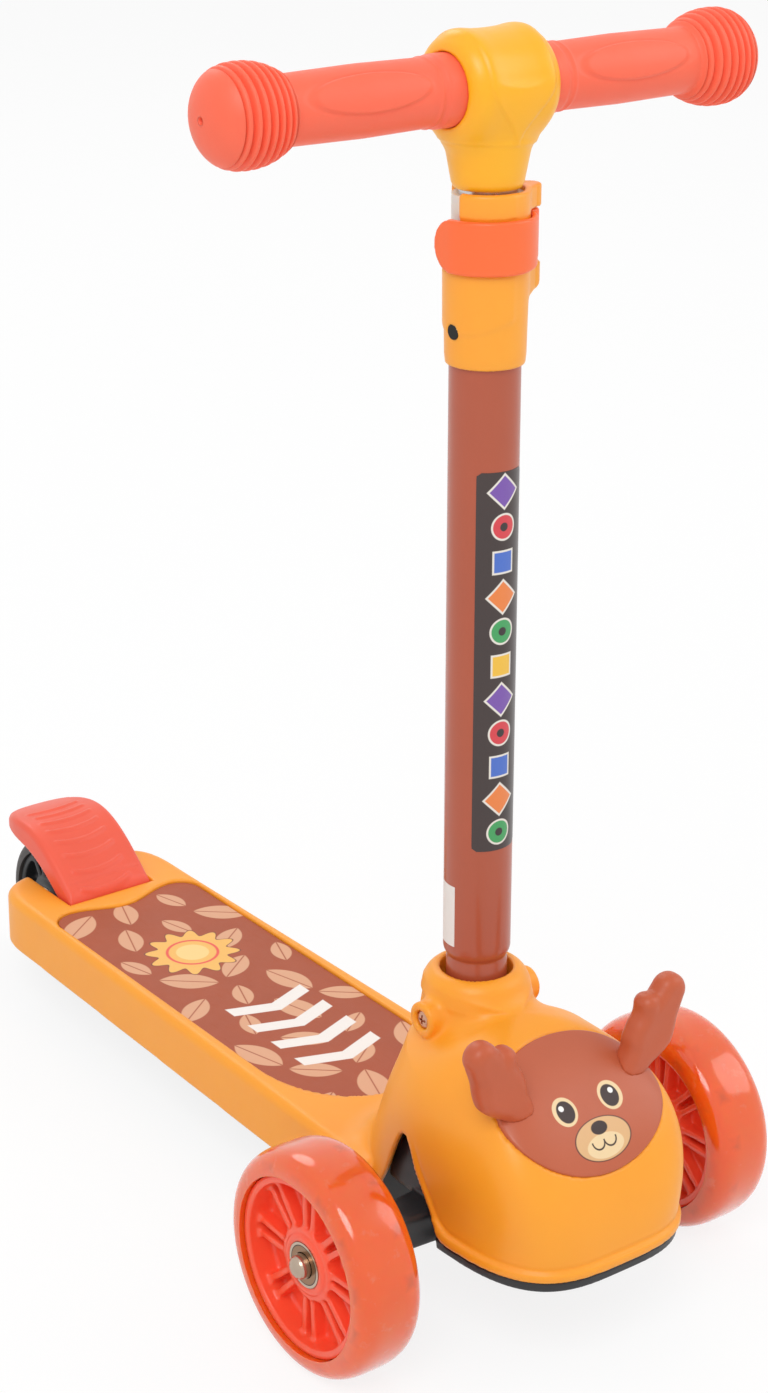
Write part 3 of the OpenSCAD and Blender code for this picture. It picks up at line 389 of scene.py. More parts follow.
def mix(factor, first, second):
    # first colour where factor is 0, second where it is 1
    return factor.add("ShaderNodeMix", {"data_type": "RGBA"}, {0: factor, 6: first, 7: second}, out=2)


def axesOf(place):
    # x, y, z of a position in millimetres, with y from the front axle
    split = place.add("ShaderNodeSeparateXYZ", {}, {0: place})
    x, y, z = [split.part(i) * 1000.0 for i in range(3)]
    return x, y - frontY, z


def wheelAxes(place):
    # x across, y and z from the front axle's middle, and the distance from the axle
    x, y, z = axesOf(place)
    z = z - frontR
    return x, y, z, (y * y + z * z).root()


def inside(distance, edge=0.16):
    # 1 where a distance in millimetres is under 0, with a soft edge, for print and for painted shade
    return (0.5 - distance * (0.5 / edge)).clipped()


def ovalDistance(x, y, cx, cy, rx, ry):
    # about how far (x, y) lies outside an oval, in millimetres
    p, q = (x - cx) / rx, (y - cy) / ry
    return ((p * p + q * q).root() - 1.0) * min(rx, ry)


plasticLook = {
    "mottle": 0.06,       # share that the colour wanders by
    "slowScale": 28.0,    # blots to a metre of the slow mottling
    "grainScale": 1400.0,
    "roughScale": 160.0,
    "roughSpread": 0.12,
    "wear": 0.05,         # how much the rubbed scratches dull it
    "scratchAlong": (900.0, 40.0, 900.0),
    "bump": 0.25,
    "bumpDepth": 0.00008,
    "sink": 1.2,          # share of the slow mottling in the bump
    "metal": 0.0,
    "ior": 1.48,
    "coat": 0.0,
    "soft": 0.0,          # light that goes through the plastic
    "softDepth": 0.002,
    "softRadius": (1.0, 0.5, 0.2),
}


def plastic(name, look, paint=None):
    # Moulded plastic or painted metal: colour mottled by slow and fine noise, a
    # roughness that wanders, fine grain as a bump, faint rubbed scratches.
    # paint(place, base) may lay a printed colour or painted shade over the base.
    look = {**plasticLook, **look}
    material, place = startMaterial(name)
    colour = np.array(light(look["colour"]))[:3]
    slow = noise(place, look["slowScale"], 4.0)
    fine = noise(place, look["grainScale"], 2.0, 0.6)
    darker, lighter = [(*[float(v) for v in np.clip(colour * share, 0, 1)], 1.0)
                       for share in (1 - look["mottle"], 1 + look["mottle"])]
    base = mix(((slow - 0.5) * 1.7 + 0.5 + (fine - 0.5) * 0.5).clipped(), darker, lighter)
    if paint:
        base = paint(place, base)
    stretch = place.add("ShaderNodeMapping", {}, {"Vector": place, "Scale": look["scratchAlong"]})
    worn = ((noise(stretch, 1.0, 2.0, 0.7) - 0.62) * 9.0).clipped() * look["wear"]
    wander = (noise(place, look["roughScale"]) - 0.5) * look["roughSpread"]
    bump = place.add("ShaderNodeBump", {}, {
        "Strength": look["bump"], "Distance": look["bumpDepth"],
        "Height": fine + slow * look["sink"] - worn * 1.5})
    return finishMaterial(material, place.add("ShaderNodeBsdfPrincipled", {}, {
        "Base Color": base, "Roughness": wander + look["rough"] + worn, "Normal": bump,
        "Metallic": look["metal"], "IOR": look["ior"], "Coat Weight": look["coat"], "Coat Roughness": 0.08,
        "Subsurface Weight": look["soft"], "Subsurface Scale": look["softDepth"],
        "Subsurface Radius": look["softRadius"]}))


shellLook = {
    "colour": (255, 164, 40),
    "rimZ": 58.0,         # lower edge of the nose
    "domeTop": 149.0,
    "wall": 3.0,
    "lipOut": 1.9,        # how far the rolled lip stands out
    "lipWide": 3.6,       # height of the rolled lip
    "rimCorner": 14.0,    # round corner from the lower edge up into the arch
    "neckFillet": 9.0,    # sweep where the neck grows out of the dome
    "neckLow": 96.0,
    "rimTop": 161.0,      # height of the neck's rim along the column
    "bossAt": 141.5,      # height of the cross bolt along the column
    "bossHalf": 33.0,     # half length of the bolt's barrel across the neck
    "bossR": 8.6,
    "deckTop": 67.0,
    "deckLow": 36.0,
    "deckFront": 36.0,    # where the deck's block begins, inside the nose
    "deckRound": 49.0,    # length of the rounded rear corners
    "deckEdge": 5.0,      # rounding of the deck's long edges
    "slotHalf": 27.5,     # half width of the slot for the rear wheel
    "postAt": (27, -53),  # screw posts of the cover, across and along
    "springAt": 35,       # the springs' seats, across
    "arch": [(-14.5, 30), (-14.5, 57), (-13.8, 61), (-12.2, 65.5), (-9.5, 70), (-6, 75), (-1.5, 82),
             (3, 90.5), (5.4, 94.5), (8, 96.8), (10.6, 96.6), (13.4, 94), (18, 85), (24, 71), (30, 58),
             (34, 40), (34, 30)],    # outline that the truck's arm leaves through
}
rimZ, domeTop, deckTop, deckLow = (shellLook[key] for key in ("rimZ", "domeTop", "deckTop", "deckLow"))
deckFront, deckRound, slotHalf = (shellLook[key] for key in ("deckFront", "deckRound", "slotHalf"))
deckBack, slotFront = wheelbase - 4, wheelbase - 54


def domeField(x, y, z, grown=0):
    # Level rings of the nose: each is a superellipse with its own front and back
    # half, |x/a|^n + |(y - c)/b|^n = 1, made a distance by dividing by its slope.
    up = np.clip((z - rimZ) / (domeTop - rimZ), 0, 0.9995)
    half = (53 + 12 * up + 4 * (1 - up) ** 10) * (1 - up ** 3.3) ** 0.6 + grown
    middle = -5.0
    ahead = 79 * (1 - up ** 2.25) ** 0.68 + grown
    u = up * 91 / 66
    behind = np.where(u < 1, 78 - 24 * u ** 0.45, np.maximum(54 - 130 * (u - 1), 4)) - middle + grown
    power = np.where(y > middle, 3 - 1.5 * up, np.minimum(3.3 + 4.0 * up, 6))
    depth = np.maximum(np.where(y > middle, behind, ahead), 0.5)
    half = np.maximum(half, 0.5)
    p = np.abs(x) / half
    q = np.abs(y - middle) / depth
    total = np.maximum(p ** power + q ** power, 1e-9)
    radius = total ** (1 / power)
    slope = np.hypot(p ** (power - 1) / half, q ** (power - 1) / depth) * total ** (1 / power - 1)
    flat = (radius - 1) / np.maximum(slope, 1 / 120)
    # how much the ring draws in with height, so that the top reads as a distance too
    drawIn = np.minimum(3.3 * 0.6 * up ** 2.3 * 65 / np.maximum(1 - up ** 3.3, 0.01) ** 0.4 / 91, 6)
    side = flat / np.sqrt(1 + (drawIn * np.clip(radius, 0, 1)) ** 2)
    return np.maximum(side, (z - domeTop + 0.02) * 0.6)


def deckField(x, y, z, drawn=0):
    # Flat block of the deck: straight sides that draw in a little towards the back,
    # and rear corners of a superellipse, |x/a|^4 + |y/b|^4 = 1.
    half = 57 - 6.5 * (y - deckFront) / (deckBack - deckRound - deckFront)
    half = np.clip(half, 50.5, 57.5) - drawn
    t = np.maximum(y - (deckBack - deckRound), 0) / (deckRound - drawn)
    p = np.abs(x) / half
    total = np.maximum(p ** 4 + t ** 4, 1e-9)
    corner = (total ** 0.25 - 1) * np.where(t > p, deckRound, half)
    side = np.where(y > deckBack - deckRound, corner, np.abs(x) - half)
    return np.maximum(side, deckFront + drawn - y)


def rimDistance(y, z):
    # How far a point of the nose lies inside its free edge: the lower rim, turned up
    # by a round corner into the arch. Behind the arch's crown it is the arch alone.
    arch = polygonDistance(y, z, shellLook["arch"])
    return np.where(y < 8, -roundCorner(rimZ - 2.2 - z, -arch, shellLook["rimCorner"]), arch)


def shellOuter(x, y, z):
    # Outside of the body: dome, deck, neck and the bolt's barrel, joined by fillets.
    look = shellLook
    dome = domeField(x, y, z)
    # rolled lip along the free edge, with a soft crease above it, thinner on the arch
    edge = rimDistance(y, z)
    rise = smooth((z - rimZ - 1) / 9)
    wide = look["lipWide"] + 2.2 - 2.6 * rise
    lip = (look["lipOut"] - 1.1 * rise) * (1 - smooth((edge - wide + 1.6) / 1.8))
    lip = lip - (0.5 - 0.15 * rise) * hump((edge - wide - 1.2) / 1.1)
    dome = dome - lip * (1 - smooth((y + 2) / 6))
    dome = roundCorner(dome, rimZ - 2.2 - z, 1.2)
    deck = roundCorner(roundCorner(deckField(x, y, z), z - deckTop, look["deckEdge"]), deckLow - z, 1.0)
    # the shoulder sweeps down onto the deck in a wide hollow curve
    sweep = 2.5 + 13 * smooth((z - 56) / 10) * smooth((y - 40) / 22)
    body = roundMin(dome, deck, sweep)
    cx, cy, t = columnFrame(x, y, z)
    neckR = np.interp(t, [look["neckLow"], 125, 138, 149, 156, look["rimTop"]], [30, 28, 26.6, 25, 23.6, 22.4])
    neck = roundCorner(np.hypot(cx, cy) - neckR, t - look["rimTop"], 4.6)
    body = roundMin(body, np.maximum(neck, look["neckLow"] - t), look["neckFillet"])
    boss = np.hypot(cy, t - look["bossAt"]) - look["bossR"]
    return roundMin(body, roundCorner(boss, np.abs(cx) - look["bossHalf"], 1.6), 3.4)


def shellField(x, y, z):
    # The outside, less the seats, the hollows, the arches and the bores, with the
    # hidden walls and ribs added.
    look = shellLook
    skin = shellOuter(x, y, z)
    cx, cy, t = columnFrame(x, y, z)
    r = np.hypot(cx, cy)
    # shallow seat of the face plate, and the mat's recess
    body = np.maximum(skin, -most(faceDistance(x, y, z) - 0.3, np.maximum(-skin - 1.1, y - 4)))
    body = roundMax(body, -np.maximum(matDistance(x, y) - 0.8, deckTop - 3.3 - z), 0.5)
    # slot round the rear wheel, with rounded edges
    slot = np.maximum(np.abs(x) - slotHalf, slotFront - y)
    body = roundMax(body, -slot, 1.8)
    # hollow of the nose and of the deck
    hollow = most(domeField(x, y, z, -look["wall"]), y - deckFront, z - 107.5)
    tray = np.maximum(deckField(x, y, z, look["wall"]), z - 60)
    body = np.maximum(body, -np.minimum(hollow, tray))
    # walls of the slot under the deck
    walls = np.maximum(np.maximum(np.abs(x) - slotHalf - 3, slotFront - 3 - y), -slot)
    walls = most(walls, z - 62, deckLow - z, deckField(x, y, z, 1))
    body = np.minimum(body, walls)
    # arch that the truck's arm leaves through, with a rolled edge
    body = roundMax(body, -rimDistance(y, z), 1.0)
    # hidden ribs that hold the pivot pin, spring seats and screw posts
    along = y * pivotDir[1] + (z - pivotZ) * pivotDir[2]
    up = -y * pivotDir[2] + (z - pivotZ) * pivotDir[1]
    plates = np.abs(np.abs(along) - 19.4) - 3
    ribs = most(plates, np.abs(x) - 18, -up - 15, -1)
    disc = np.maximum(plates, np.hypot(x, up) - 10)
    seats = np.maximum(np.hypot(np.abs(x) - look["springAt"], y) - 8, 90.5 - z)
    postX, postY = look["postAt"]
    posts = np.maximum(np.hypot(np.abs(x) - postX, y - postY) - 4.5, rimZ - z)
    within = most(domeField(x, y, z, -1.5), np.minimum(38 - z, 1), z - 110)
    ribs = np.maximum(np.minimum(np.minimum(ribs, seats), posts), within)
    body = np.minimum(body, np.minimum(ribs, disc))
    # bore for the tube, wider at its mouth, and the sunk ends of the cross bolt
    bore = np.maximum(r - 14.5, 116 - t)
    mouth = np.maximum(r - 17.2, 149 - t)
    body = roundMax(body, -np.minimum(bore, mouth), 1.2)
    sunk = np.maximum(np.hypot(cy, t - look["bossAt"]) - 4.7, 29 - np.abs(cx))
    return roundMax(body, -sunk, 0.7)


def archShadePaint(place, base):
    # painted shade: the shell's inner wall inside the arch, behind the truck, turned near black in a block
    # round (59, 29, 56)
    x, y, z = axesOf(place)
    away = (x.size() + y * 0.35 - 59.0).most((y - 29.0).size() - 9.0).most((z - 56.0).size() - 22.0)
    return mix(inside(away, 0.3), base, light((34, 32, 32)))


def bodyShell():
    # deck, nose and neck in one moulding, on a finer grid where it is curved
    ys = [steps(-88, 92, 1.25), steps(92, slotFront - 22, 4.0)[1:],
          steps(slotFront - 22, deckBack + 1.6, 1.5)[1:]]
    grid = steps(-60.6, 60.6, 1.25), np.concatenate(ys), steps(35.2, 165, 1.25)
    # the shell's colour carries painted shade on its inner wall inside the arch
    orange = plastic("orangeShell", {"colour": shellLook["colour"], "rough": 0.4, "mottle": 0.03, "soft": 0.15,
                                     "softRadius": (1.0, 0.5, 0.15)}, archShadePaint)
    addSolid("bodyShell", shellField, grid, "deck", orange, ["deck_shell"])


coverLook = {
    "floor": 47.0,        # lowest plane of the cover
    "thick": 2.4,
    "clear": 4.5,         # room for the tilting arms
}


def coverField(x, y, z):
    # Tray under the nose: a skin that follows the shell's free edge and turns up into
    # the arch, with a flat floor. It stays clear of the tilting arms.
    look = coverLook
    edge = rimDistance(y, z)
    arch = polygonDistance(y, z, shellLook["arch"])
    rise = smooth((z - 55) / 8)
    out = np.interp(z, [look["floor"], 51, 55.8, 58], [-6, 0.2, 0.8, -0.6])
    side = domeField(x, y, np.maximum(z, rimZ)) - out
    body = most(side, edge + 0.2, look["floor"] - z, look["clear"] - 6.5 * rise - arch, y - 2)
    floor = np.maximum(body, z - look["floor"] - 2.6)
    body = np.minimum(roundMax(body, -side - look["thick"], 0.5), floor)
    postX, postY = shellLook["postAt"]
    return np.maximum(body, -np.maximum(np.hypot(np.abs(x) - postX, y - postY) - 4.2, z - 56))


def blackMoulding():
    # the black plastic that several pieces share
    if "blackMoulding" not in bpy.data.materials:
        plastic("blackMoulding", {"colour": (38, 38, 40), "rough": 0.4, "mottle": 0.12, "bump": 0.35,
                                  "wear": 0.1})
    return bpy.data.materials["blackMoulding"]


def frontCover():
    # the tray, on a grid a little larger than it
    grid = steps(-59.5, 59.5, 1.0), steps(-88, 4, 1.0), steps(46.0, 92, 0.9)
    addSolid("frontCover", coverField, grid, "deck", blackMoulding(), ["front_cover"])


plateLook = {
    "colour": (190, 95, 62),
    "tilt": 40.0,         # slope of the plate against the floor
    "centre": (0.0, -48.0, 121.0),
    "halfWide": 44.4,
    "halfHigh": 34.6,
    "proud": 0.8,         # how far it stands out of the nose
    "seam": 1.3,          # depth of the seam round it
}
tiltSin, tiltCos = math.sin(math.radians(plateLook["tilt"])), math.cos(math.radians(plateLook["tilt"]))


def faceDistance(x, y, z):
    # distance to the plate's oval, measured in its own slope
    look = plateLook
    v = (y - look["centre"][1]) * tiltCos + (z - look["centre"][2]) * tiltSin
    p, q = x / look["halfWide"], v / look["halfHigh"]
    total = np.hypot(p, q)
    slope = np.hypot(p / look["halfWide"], q / look["halfHigh"]) / np.maximum(total, 1e-6)
    return (total - 1) / np.maximum(slope, 1e-4)


def facePlate():
    # Oval skin: each point of an oval grid slides along the plate's own normal until
    # it stands the wanted height over the nose, found by halving the interval.
    look = plateLook
    rings, turns = ((90, 220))
    rho = np.concatenate([np.linspace(0.004, 0.985, rings), [0.996, 0.999, 1.0, 1.0]])
    lift = np.concatenate([np.full(rings, look["proud"]), [0.62, 0.3, -0.2, -look["seam"]]])
    angle = np.linspace(0, 2 * np.pi, turns, endpoint=False)
    u = look["halfWide"] * rho[:, None] * np.cos(angle)
    v = look["halfHigh"] * rho[:, None] * np.sin(angle)
    lift = lift[:, None] + 0 * u
    base = np.stack([u, look["centre"][1] + v * tiltCos, look["centre"][2] + v * tiltSin], -1).reshape(-1, 3)
    out = np.array([0, -tiltSin, tiltCos])
    low, high = np.full(len(base), -45.0), np.full(len(base), 40.0)
    for turn in range(34):
        middle = 0.5 * (low + high)
        here = shellOuter(*(base + middle[:, None] * out).T) - lift.ravel()
        low = np.where(here < 0, middle, low)
        high = np.where(here < 0, high, middle)
    points = base + (0.5 * (low + high))[:, None] * out
    faces = [gridQuads(len(rho), turns), capFan(np.arange(turns), len(points), True)]
    points = np.vstack([points, points[:turns].mean(0)])
    brown = plastic("brownPlate", {"colour": look["colour"], "rough": 0.36, "mottle": 0.05, "soft": 0.05},
                    facePaint)
    piece = addPiece("facePlate", points, faces, "deck", brown, ["face_plate"])
    addUv(piece, "slope", np.concatenate([np.stack([u, v], -1).reshape(-1, 2), [[0, 0]]]) / 100 + 0.5)


def facePaint(place, base):
    # Plain animal face of simple ovals, the same on both halves.
    uv = place.add("ShaderNodeUVMap", {"uv_map": "slope"}, {})
    split = uv.add("ShaderNodeSeparateXYZ", {}, {0: uv})
    x, y = ((split.part(0) - 0.5) * 100.0).size(), (split.part(1) - 0.5) * 100.0
    dark, cream, tan = light((48, 26, 24)), light((240, 212, 165)), light((226, 180, 128))
    muzzle = ovalDistance(x, y, 0, -20.0, 15.4, 9.4)
    smile = (ovalDistance(x, y, 3.4, -20.8, 3.4, 3.4).size() - 0.4).most(y + 20.4)
    for shape, colour in [
            (muzzle - 0.45, light((92, 48, 40))),
            (muzzle, tan),
            (ovalDistance(x, y, 0, -23.2, 10.5, 5.4), cream),
            (ovalDistance(x, y, 0, -15.0, 4.6, 3.1), dark),
            (smile, dark),
            (ovalDistance(x, y, 13.4, -3.0, 6.5, 7.1), cream),
            (ovalDistance(x, y, 13.1, -3.2, 4.7, 5.4), dark),
            (ovalDistance(x, y, 14.6, -1.1, 1.4, 1.4), light((250, 248, 244)))]:
        base = mix(inside(shape), base, colour)
    return base


antlerLook = {
    "colour": (194, 91, 54),
    "thick": 13.0,
    "edge": 5.6,          # rounding of the antler's rim
    "place": (30.5, -45.4, 123.2),
    # flat strips: start, its radius, end, its radius, fillet to the strips before
    "limbs": [((0, 1.5), 6.2, (14.2, 20), 11.6, 0),
              ((14.2, 20), 11.6, (25, 38.8), 8.0, 6),
              ((13.5, 20.5), 8.0, (12.0, 35.0), 5.4, 2.4),
              ((11, 17), 8.0, (5.4, 18.6), 4.6, 2.5)],
}


def limbDistance(u, v, start, startR, end, endR):
    # flat strip between two discs of different radius
    du, dv = end[0] - start[0], end[1] - start[1]
    share = np.clip(((u - start[0]) * du + (v - start[1]) * dv) / (du * du + dv * dv), 0, 1)
    return np.hypot(u - start[0] - share * du, v - start[1] - share * dv) - (startR + share * (endR - startR))


def antlerField(u, y, v):
    # Paddle outline carried through the thickness and rounded off at the rim, with a
    # shallow dish on each face, as the moulding has between its lobes.
    look = antlerLook
    paddle = limbDistance(u, v, *look["limbs"][0][:4])
    for start, startR, end, endR, fillet in look["limbs"][1:]:
        paddle = roundMin(paddle, limbDistance(u, v, start, startR, end, endR), fillet)
    body = roundCorner(paddle, np.abs(y) - look["thick"] / 2, look["edge"])
    return body + 0.3 * np.exp(-((u - 14) ** 2 + (v - 21) ** 2) / 70)


def antlers():
    # two mirrored antlers, cut to sit on the nose
    brown = plastic("brownAntler", {"colour": antlerLook["colour"], "rough": 0.42, "mottle": 0.06,
                                    "soft": 0.12})
    ax, ay, az = antlerLook["place"]
    for name, side in (("left", -1), ("right", 1)):
        def field(x, y, z):
            # the paddle in its place, outside the nose
            here = antlerField(side * x - ax, y - ay, z - az)
            return roundMax(here, plateLook["proud"] * 0.4 - domeField(x, y, z), 0.4)
        low, high = sorted((side * (ax - 10), side * (ax + 36)))
        grid = steps(low, high, 1.0), steps(ay - 8, ay + 8, 1.0), steps(az - 10, az + 50, 1.0)
        addSolid("antler" + name.title(), field, grid, "deck", brown, ["antler_" + name])


matLook = {
    "colour": (167, 76, 40),
    "half": 45.0,
    "noseAt": 141.0,      # the oval nose lies ahead of this
    "nose": 56.0,         # length of the nose
    "end": slotFront - 8,
    "corner": 12.0,
    "wave": 9.0,          # depth of the wave along the rear edge
    "leafRows": 9,
    "leafAlong": 29.0,
    "leafAcross": 30.0,
    "sunAt": 268.0,
    "bars": 4,
    "barFrom": 128.0,
    "barStep": 21.0,
}


def matDistance(x, y):
    # distance to the grip mat's outline: oval nose, straight sides, waved rear edge
    look = matLook
    half, noseAt, nose, corner = look["half"], look["noseAt"], look["nose"], look["corner"]
    p = np.abs(x)
    q = np.minimum(y - noseAt, 0)
    total = np.hypot(p / half, q / nose)
    slope = np.hypot(p / half ** 2, q / nose ** 2) / np.maximum(total, 1e-6)
    front = np.where(y > noseAt, p - half, (total - 1) / np.maximum(slope, 1 / 60))
    t = np.clip(p / (half - corner), 0, 1)
    rear = y - (look["end"] - look["wave"] * (1 + np.cos(np.pi * t)) / 2)
    u, v = p - half + corner, y - look["end"] + corner
    rounded = np.hypot(np.maximum(u, 0), np.maximum(v, 0)) - corner
    back = np.where(p > half - corner, rounded, rear)
    return np.maximum(front, np.where(y > look["end"] - 30, back, -20))


def leafDistance(x, y, cx, cy, size, turn):
    # two discs that overlap, cut by a vein
    c, s = math.cos(math.radians(turn)), math.sin(math.radians(turn))
    u = (x - cx) * c + (y - cy) * s
    v = (y - cy) * c - (x - cx) * s
    above, below = v + size * 0.75, v - size * 0.75
    lens = ((u * u + above * above).root() - size * 1.25).most((u * u + below * below).root() - size * 1.25)
    return lens.most(0.35 - v.size())


def matPaint(place, base):
    # Plain tan leaves in offset rows, a golden sunflower and pale angled bars.
    look = matLook
    x, y = axesOf(place)[:2]
    for row in range(look["leafRows"]):
        for column in range(3):
            cx = (column - 1) * look["leafAcross"] + (look["leafAcross"] / 2 if row % 2 else 0) - 7
            cy = 96 + row * look["leafAlong"]
            size = 11.0 + 2.5 * ((row + 2 * column) % 3)
            turn = 35 + 140 * ((row * 3 + column * 5) % 4) / 4
            base = mix(inside(leafDistance(x, y, cx, cy, size, turn), 0.3), base, light((224, 168, 132)))
    dx, dy = x + 2, y - look["sunAt"]
    r = (dx * dx + dy * dy).root()
    petals = r - 22.5 - (dy.maths("ARCTAN2", dx) * 12.0).maths("COSINE") * 3.2
    for shape, colour in [(petals - 0.8, (120, 60, 44)), (petals, (247, 190, 100)),
                          ((r - 13.8).size() - 0.8, (238, 92, 80)), (r - 9.0, (250, 214, 140))]:
        base = mix(inside(shape, 0.3), base, light(colour))
    for k in range(look["bars"]):
        at = look["barFrom"] + k * look["barStep"]
        bar = ((y - at - x.size() * 0.35).size() - 4.4).most(x.size() - 24.0)
        base = mix(inside(bar, 0.3), base, light((246, 240, 234)))
    return base


columnLook = {
    "colour": (176, 82, 52),
    "tubeR": 15.8,
    "tubeLow": 117.0,
    "tubeTop": 512.0,
    "grooveAt": 170.0,    # small groove above the nose's neck
    "tubeWall": 1.8,
}


def steeringTube():
    # Turned profile (r, h): spigot, groove, long tube, rounded top and the bore.
    look = columnLook
    r, low, top, groove = look["tubeR"], look["tubeLow"], look["tubeTop"], look["grooveAt"]
    foot = [(12.3, low), (14.2, low + 0.6), (14.3, groove - 4), (13.9, groove - 3), (14.0, groove - 2),
            (14.6, groove - 1), (15.4, groove + 0.6), (r, groove + 2.4)]
    side = [(r, h) for h in np.linspace(groove + 6, top - 0.8, 60)]
    head = [(r - 0.6, top), (r - 1.6, top), (r - look["tubeWall"], top - 1), (r - look["tubeWall"], 180),
            (12.3, 172), (12.3, low + 0.8)]
    points, faces = lathe(foot + side + head, 128)
    brown = plastic("brownTube", {"colour": look["colour"], "rough": 0.33, "mottle": 0.03, "coat": 0.25,
                                  "bump": 0.12, "scratchAlong": (1200.0, 1200.0, 14.0), "wear": 0.06})
    addPiece("steeringTube", onColumn(points), faces[:1], "deck", brown, ["steering_tube"],
             crease=40)


def wrappedFilm(name, r, angle, height, thick, material, hides=()):
    # Film on the tube: (r cos a, r sin a, h) over a grid, a back that lies thick
    # nearer to the axis, and a skirt that joins the two round the edge.
    rows, cols = height.shape
    front = np.stack([r * np.cos(angle), r * np.sin(angle), height], -1).reshape(-1, 3)
    back = front * [1 - thick / r, 1 - thick / r, 1]
    count = rows * cols
    top = gridQuads(rows, cols, False)
    edge = np.concatenate([np.arange(cols), np.arange(1, rows) * cols + cols - 1,
                           np.arange(cols - 2, -1, -1) + (rows - 1) * cols, np.arange(rows - 2, 0, -1) * cols])
    skirt = np.stack([edge, np.roll(edge, -1), np.roll(edge, -1) + count, edge + count], -1)[:, ::-1]
    return addPiece(name, onColumn(np.vstack([front, back])), [top, top[:, ::-1] + count, skirt], "deck",
                    material, hides, crease=40)


labelLook = {
    "ground": (58, 44, 42),
    "low": 226.0,
    "high": 406.0,
    "half": 13.0,         # half width of the strip, flat
    "halfTurn": 47.0,     # the same as an angle round the tube
    "centre": -93.0,      # where it is centred, as an angle round the tube
    "corner": 2.2,
    "shapes": 11,
    "colours": [(60, 160, 90), (235, 130, 60), (70, 110, 200), (215, 60, 70), (120, 80, 170), (240, 190, 60)],
}


def tubeLabel():
    # Printed strip wrapped round the tube's front, its corners rounded by drawing in
    # the rows near its ends: corner - sqrt(corner^2 - (corner - distance)^2).
    look = labelLook
    half, halfTurn, corner = look["half"], look["halfTurn"], look["corner"]
    turn = np.radians(np.linspace(-halfTurn, halfTurn, 60))[None, :]
    u, v = np.broadcast_arrays(turn, np.linspace(look["low"], look["high"], 120)[:, None])
    limit = np.minimum(v - look["low"], look["high"] - v)
    drawn = corner - np.sqrt(np.maximum(corner ** 2 - (corner - limit) ** 2, 0))
    inset = np.where(limit < corner, drawn, 0)
    across = np.degrees(u) / halfTurn * half * (half - inset) / half
    angle = np.radians(look["centre"] + across / half * halfTurn)
    film = plastic("labelFilm", {"colour": look["ground"], "rough": 0.34, "mottle": 0.05, "bump": 0.1,
                                 "coat": 0.3}, labelPaint)
    piece = wrappedFilm("tubeLabel", columnLook["tubeR"] + 0.16, angle, v, 0.3, film, ["tube_label"])
    flat = np.stack([across, v - look["low"]], -1).reshape(-1, 2)
    addUv(piece, "strip", np.vstack([flat, flat]) / 100)


def labelPaint(place, base):
    # A column of plain coloured discs, diamonds and squares, each with a pale rim.
    look = labelLook
    uv = place.add("ShaderNodeUVMap", {"uv_map": "strip"}, {})
    split = uv.add("ShaderNodeSeparateXYZ", {}, {0: uv})
    x, y = split.part(0) * 100.0, split.part(1) * 100.0
    for k in range(look["shapes"]):
        cy = 9 + k * (look["high"] - look["low"] - 18) / (look["shapes"] - 1)
        if k % 3 == 0:
            shape = ovalDistance(x, y, 0, cy, 5.4, 5.4)
        elif k % 3 == 1:
            shape = (x.size() + (y - cy).size() - 7.2) * 0.7
        else:
            shape = (x.size() - 4.6).most((y - cy).size() - 4.6)
        base = mix(inside(shape - 0.9), base, light((232, 226, 216)))
        base = mix(inside(shape), base, light(look["colours"][k % len(look["colours"])]))
        if k % 3 == 0:
            base = mix(inside(ovalDistance(x, y, 0, cy, 2.0, 2.0)), base, light((46, 36, 36)))
    return base


stickerLook = {"colour": (236, 230, 224), "low": 175.5, "high": 206.0, "from": 150.0, "to": 190.0}


def whiteSticker():
    # Blank paper label low on the tube's side.
    look = stickerLook
    angle = np.radians(np.linspace(look["from"], look["to"], 20))[None, :]
    u, v = np.broadcast_arrays(angle, np.linspace(look["low"], look["high"], 20)[:, None])
    paper = plastic("stickerPaper", {"colour": look["colour"], "rough": 0.5, "mottle": 0.03})
    wrappedFilm("whiteSticker", columnLook["tubeR"] + 0.12, u, v, 0.25, paper)


clampLook = {
    "sleeveColour": (255, 167, 48),
    "leverColour": (255, 112, 54),
    "sleeveR": 18.5,
    "sleeveLow": alongColumn("clamp_sleeve", 15.9)[0],
    "sleeveTop": alongColumn("clamp_sleeve", 17.7)[1],
    "slitFrom": 106.0,    # the sleeve's open side, as angles round the column
    "slitTo": 192.0,
    "screwAt": middleAlong("clamp_screw"),
    "pinAt": 23.0,        # the lever's pin in the sleeve's ear, across the column
    "leverLow": alongColumn("clamp_lever", 21.7)[0],
    "leverTop": alongColumn("clamp_lever", 21.7)[1],
    "leverThick": 2.8,
}
leverAt = (clampLook["leverLow"] + clampLook["leverTop"]) / 2
leverHalf = (clampLook["leverTop"] - clampLook["leverLow"]) / 2


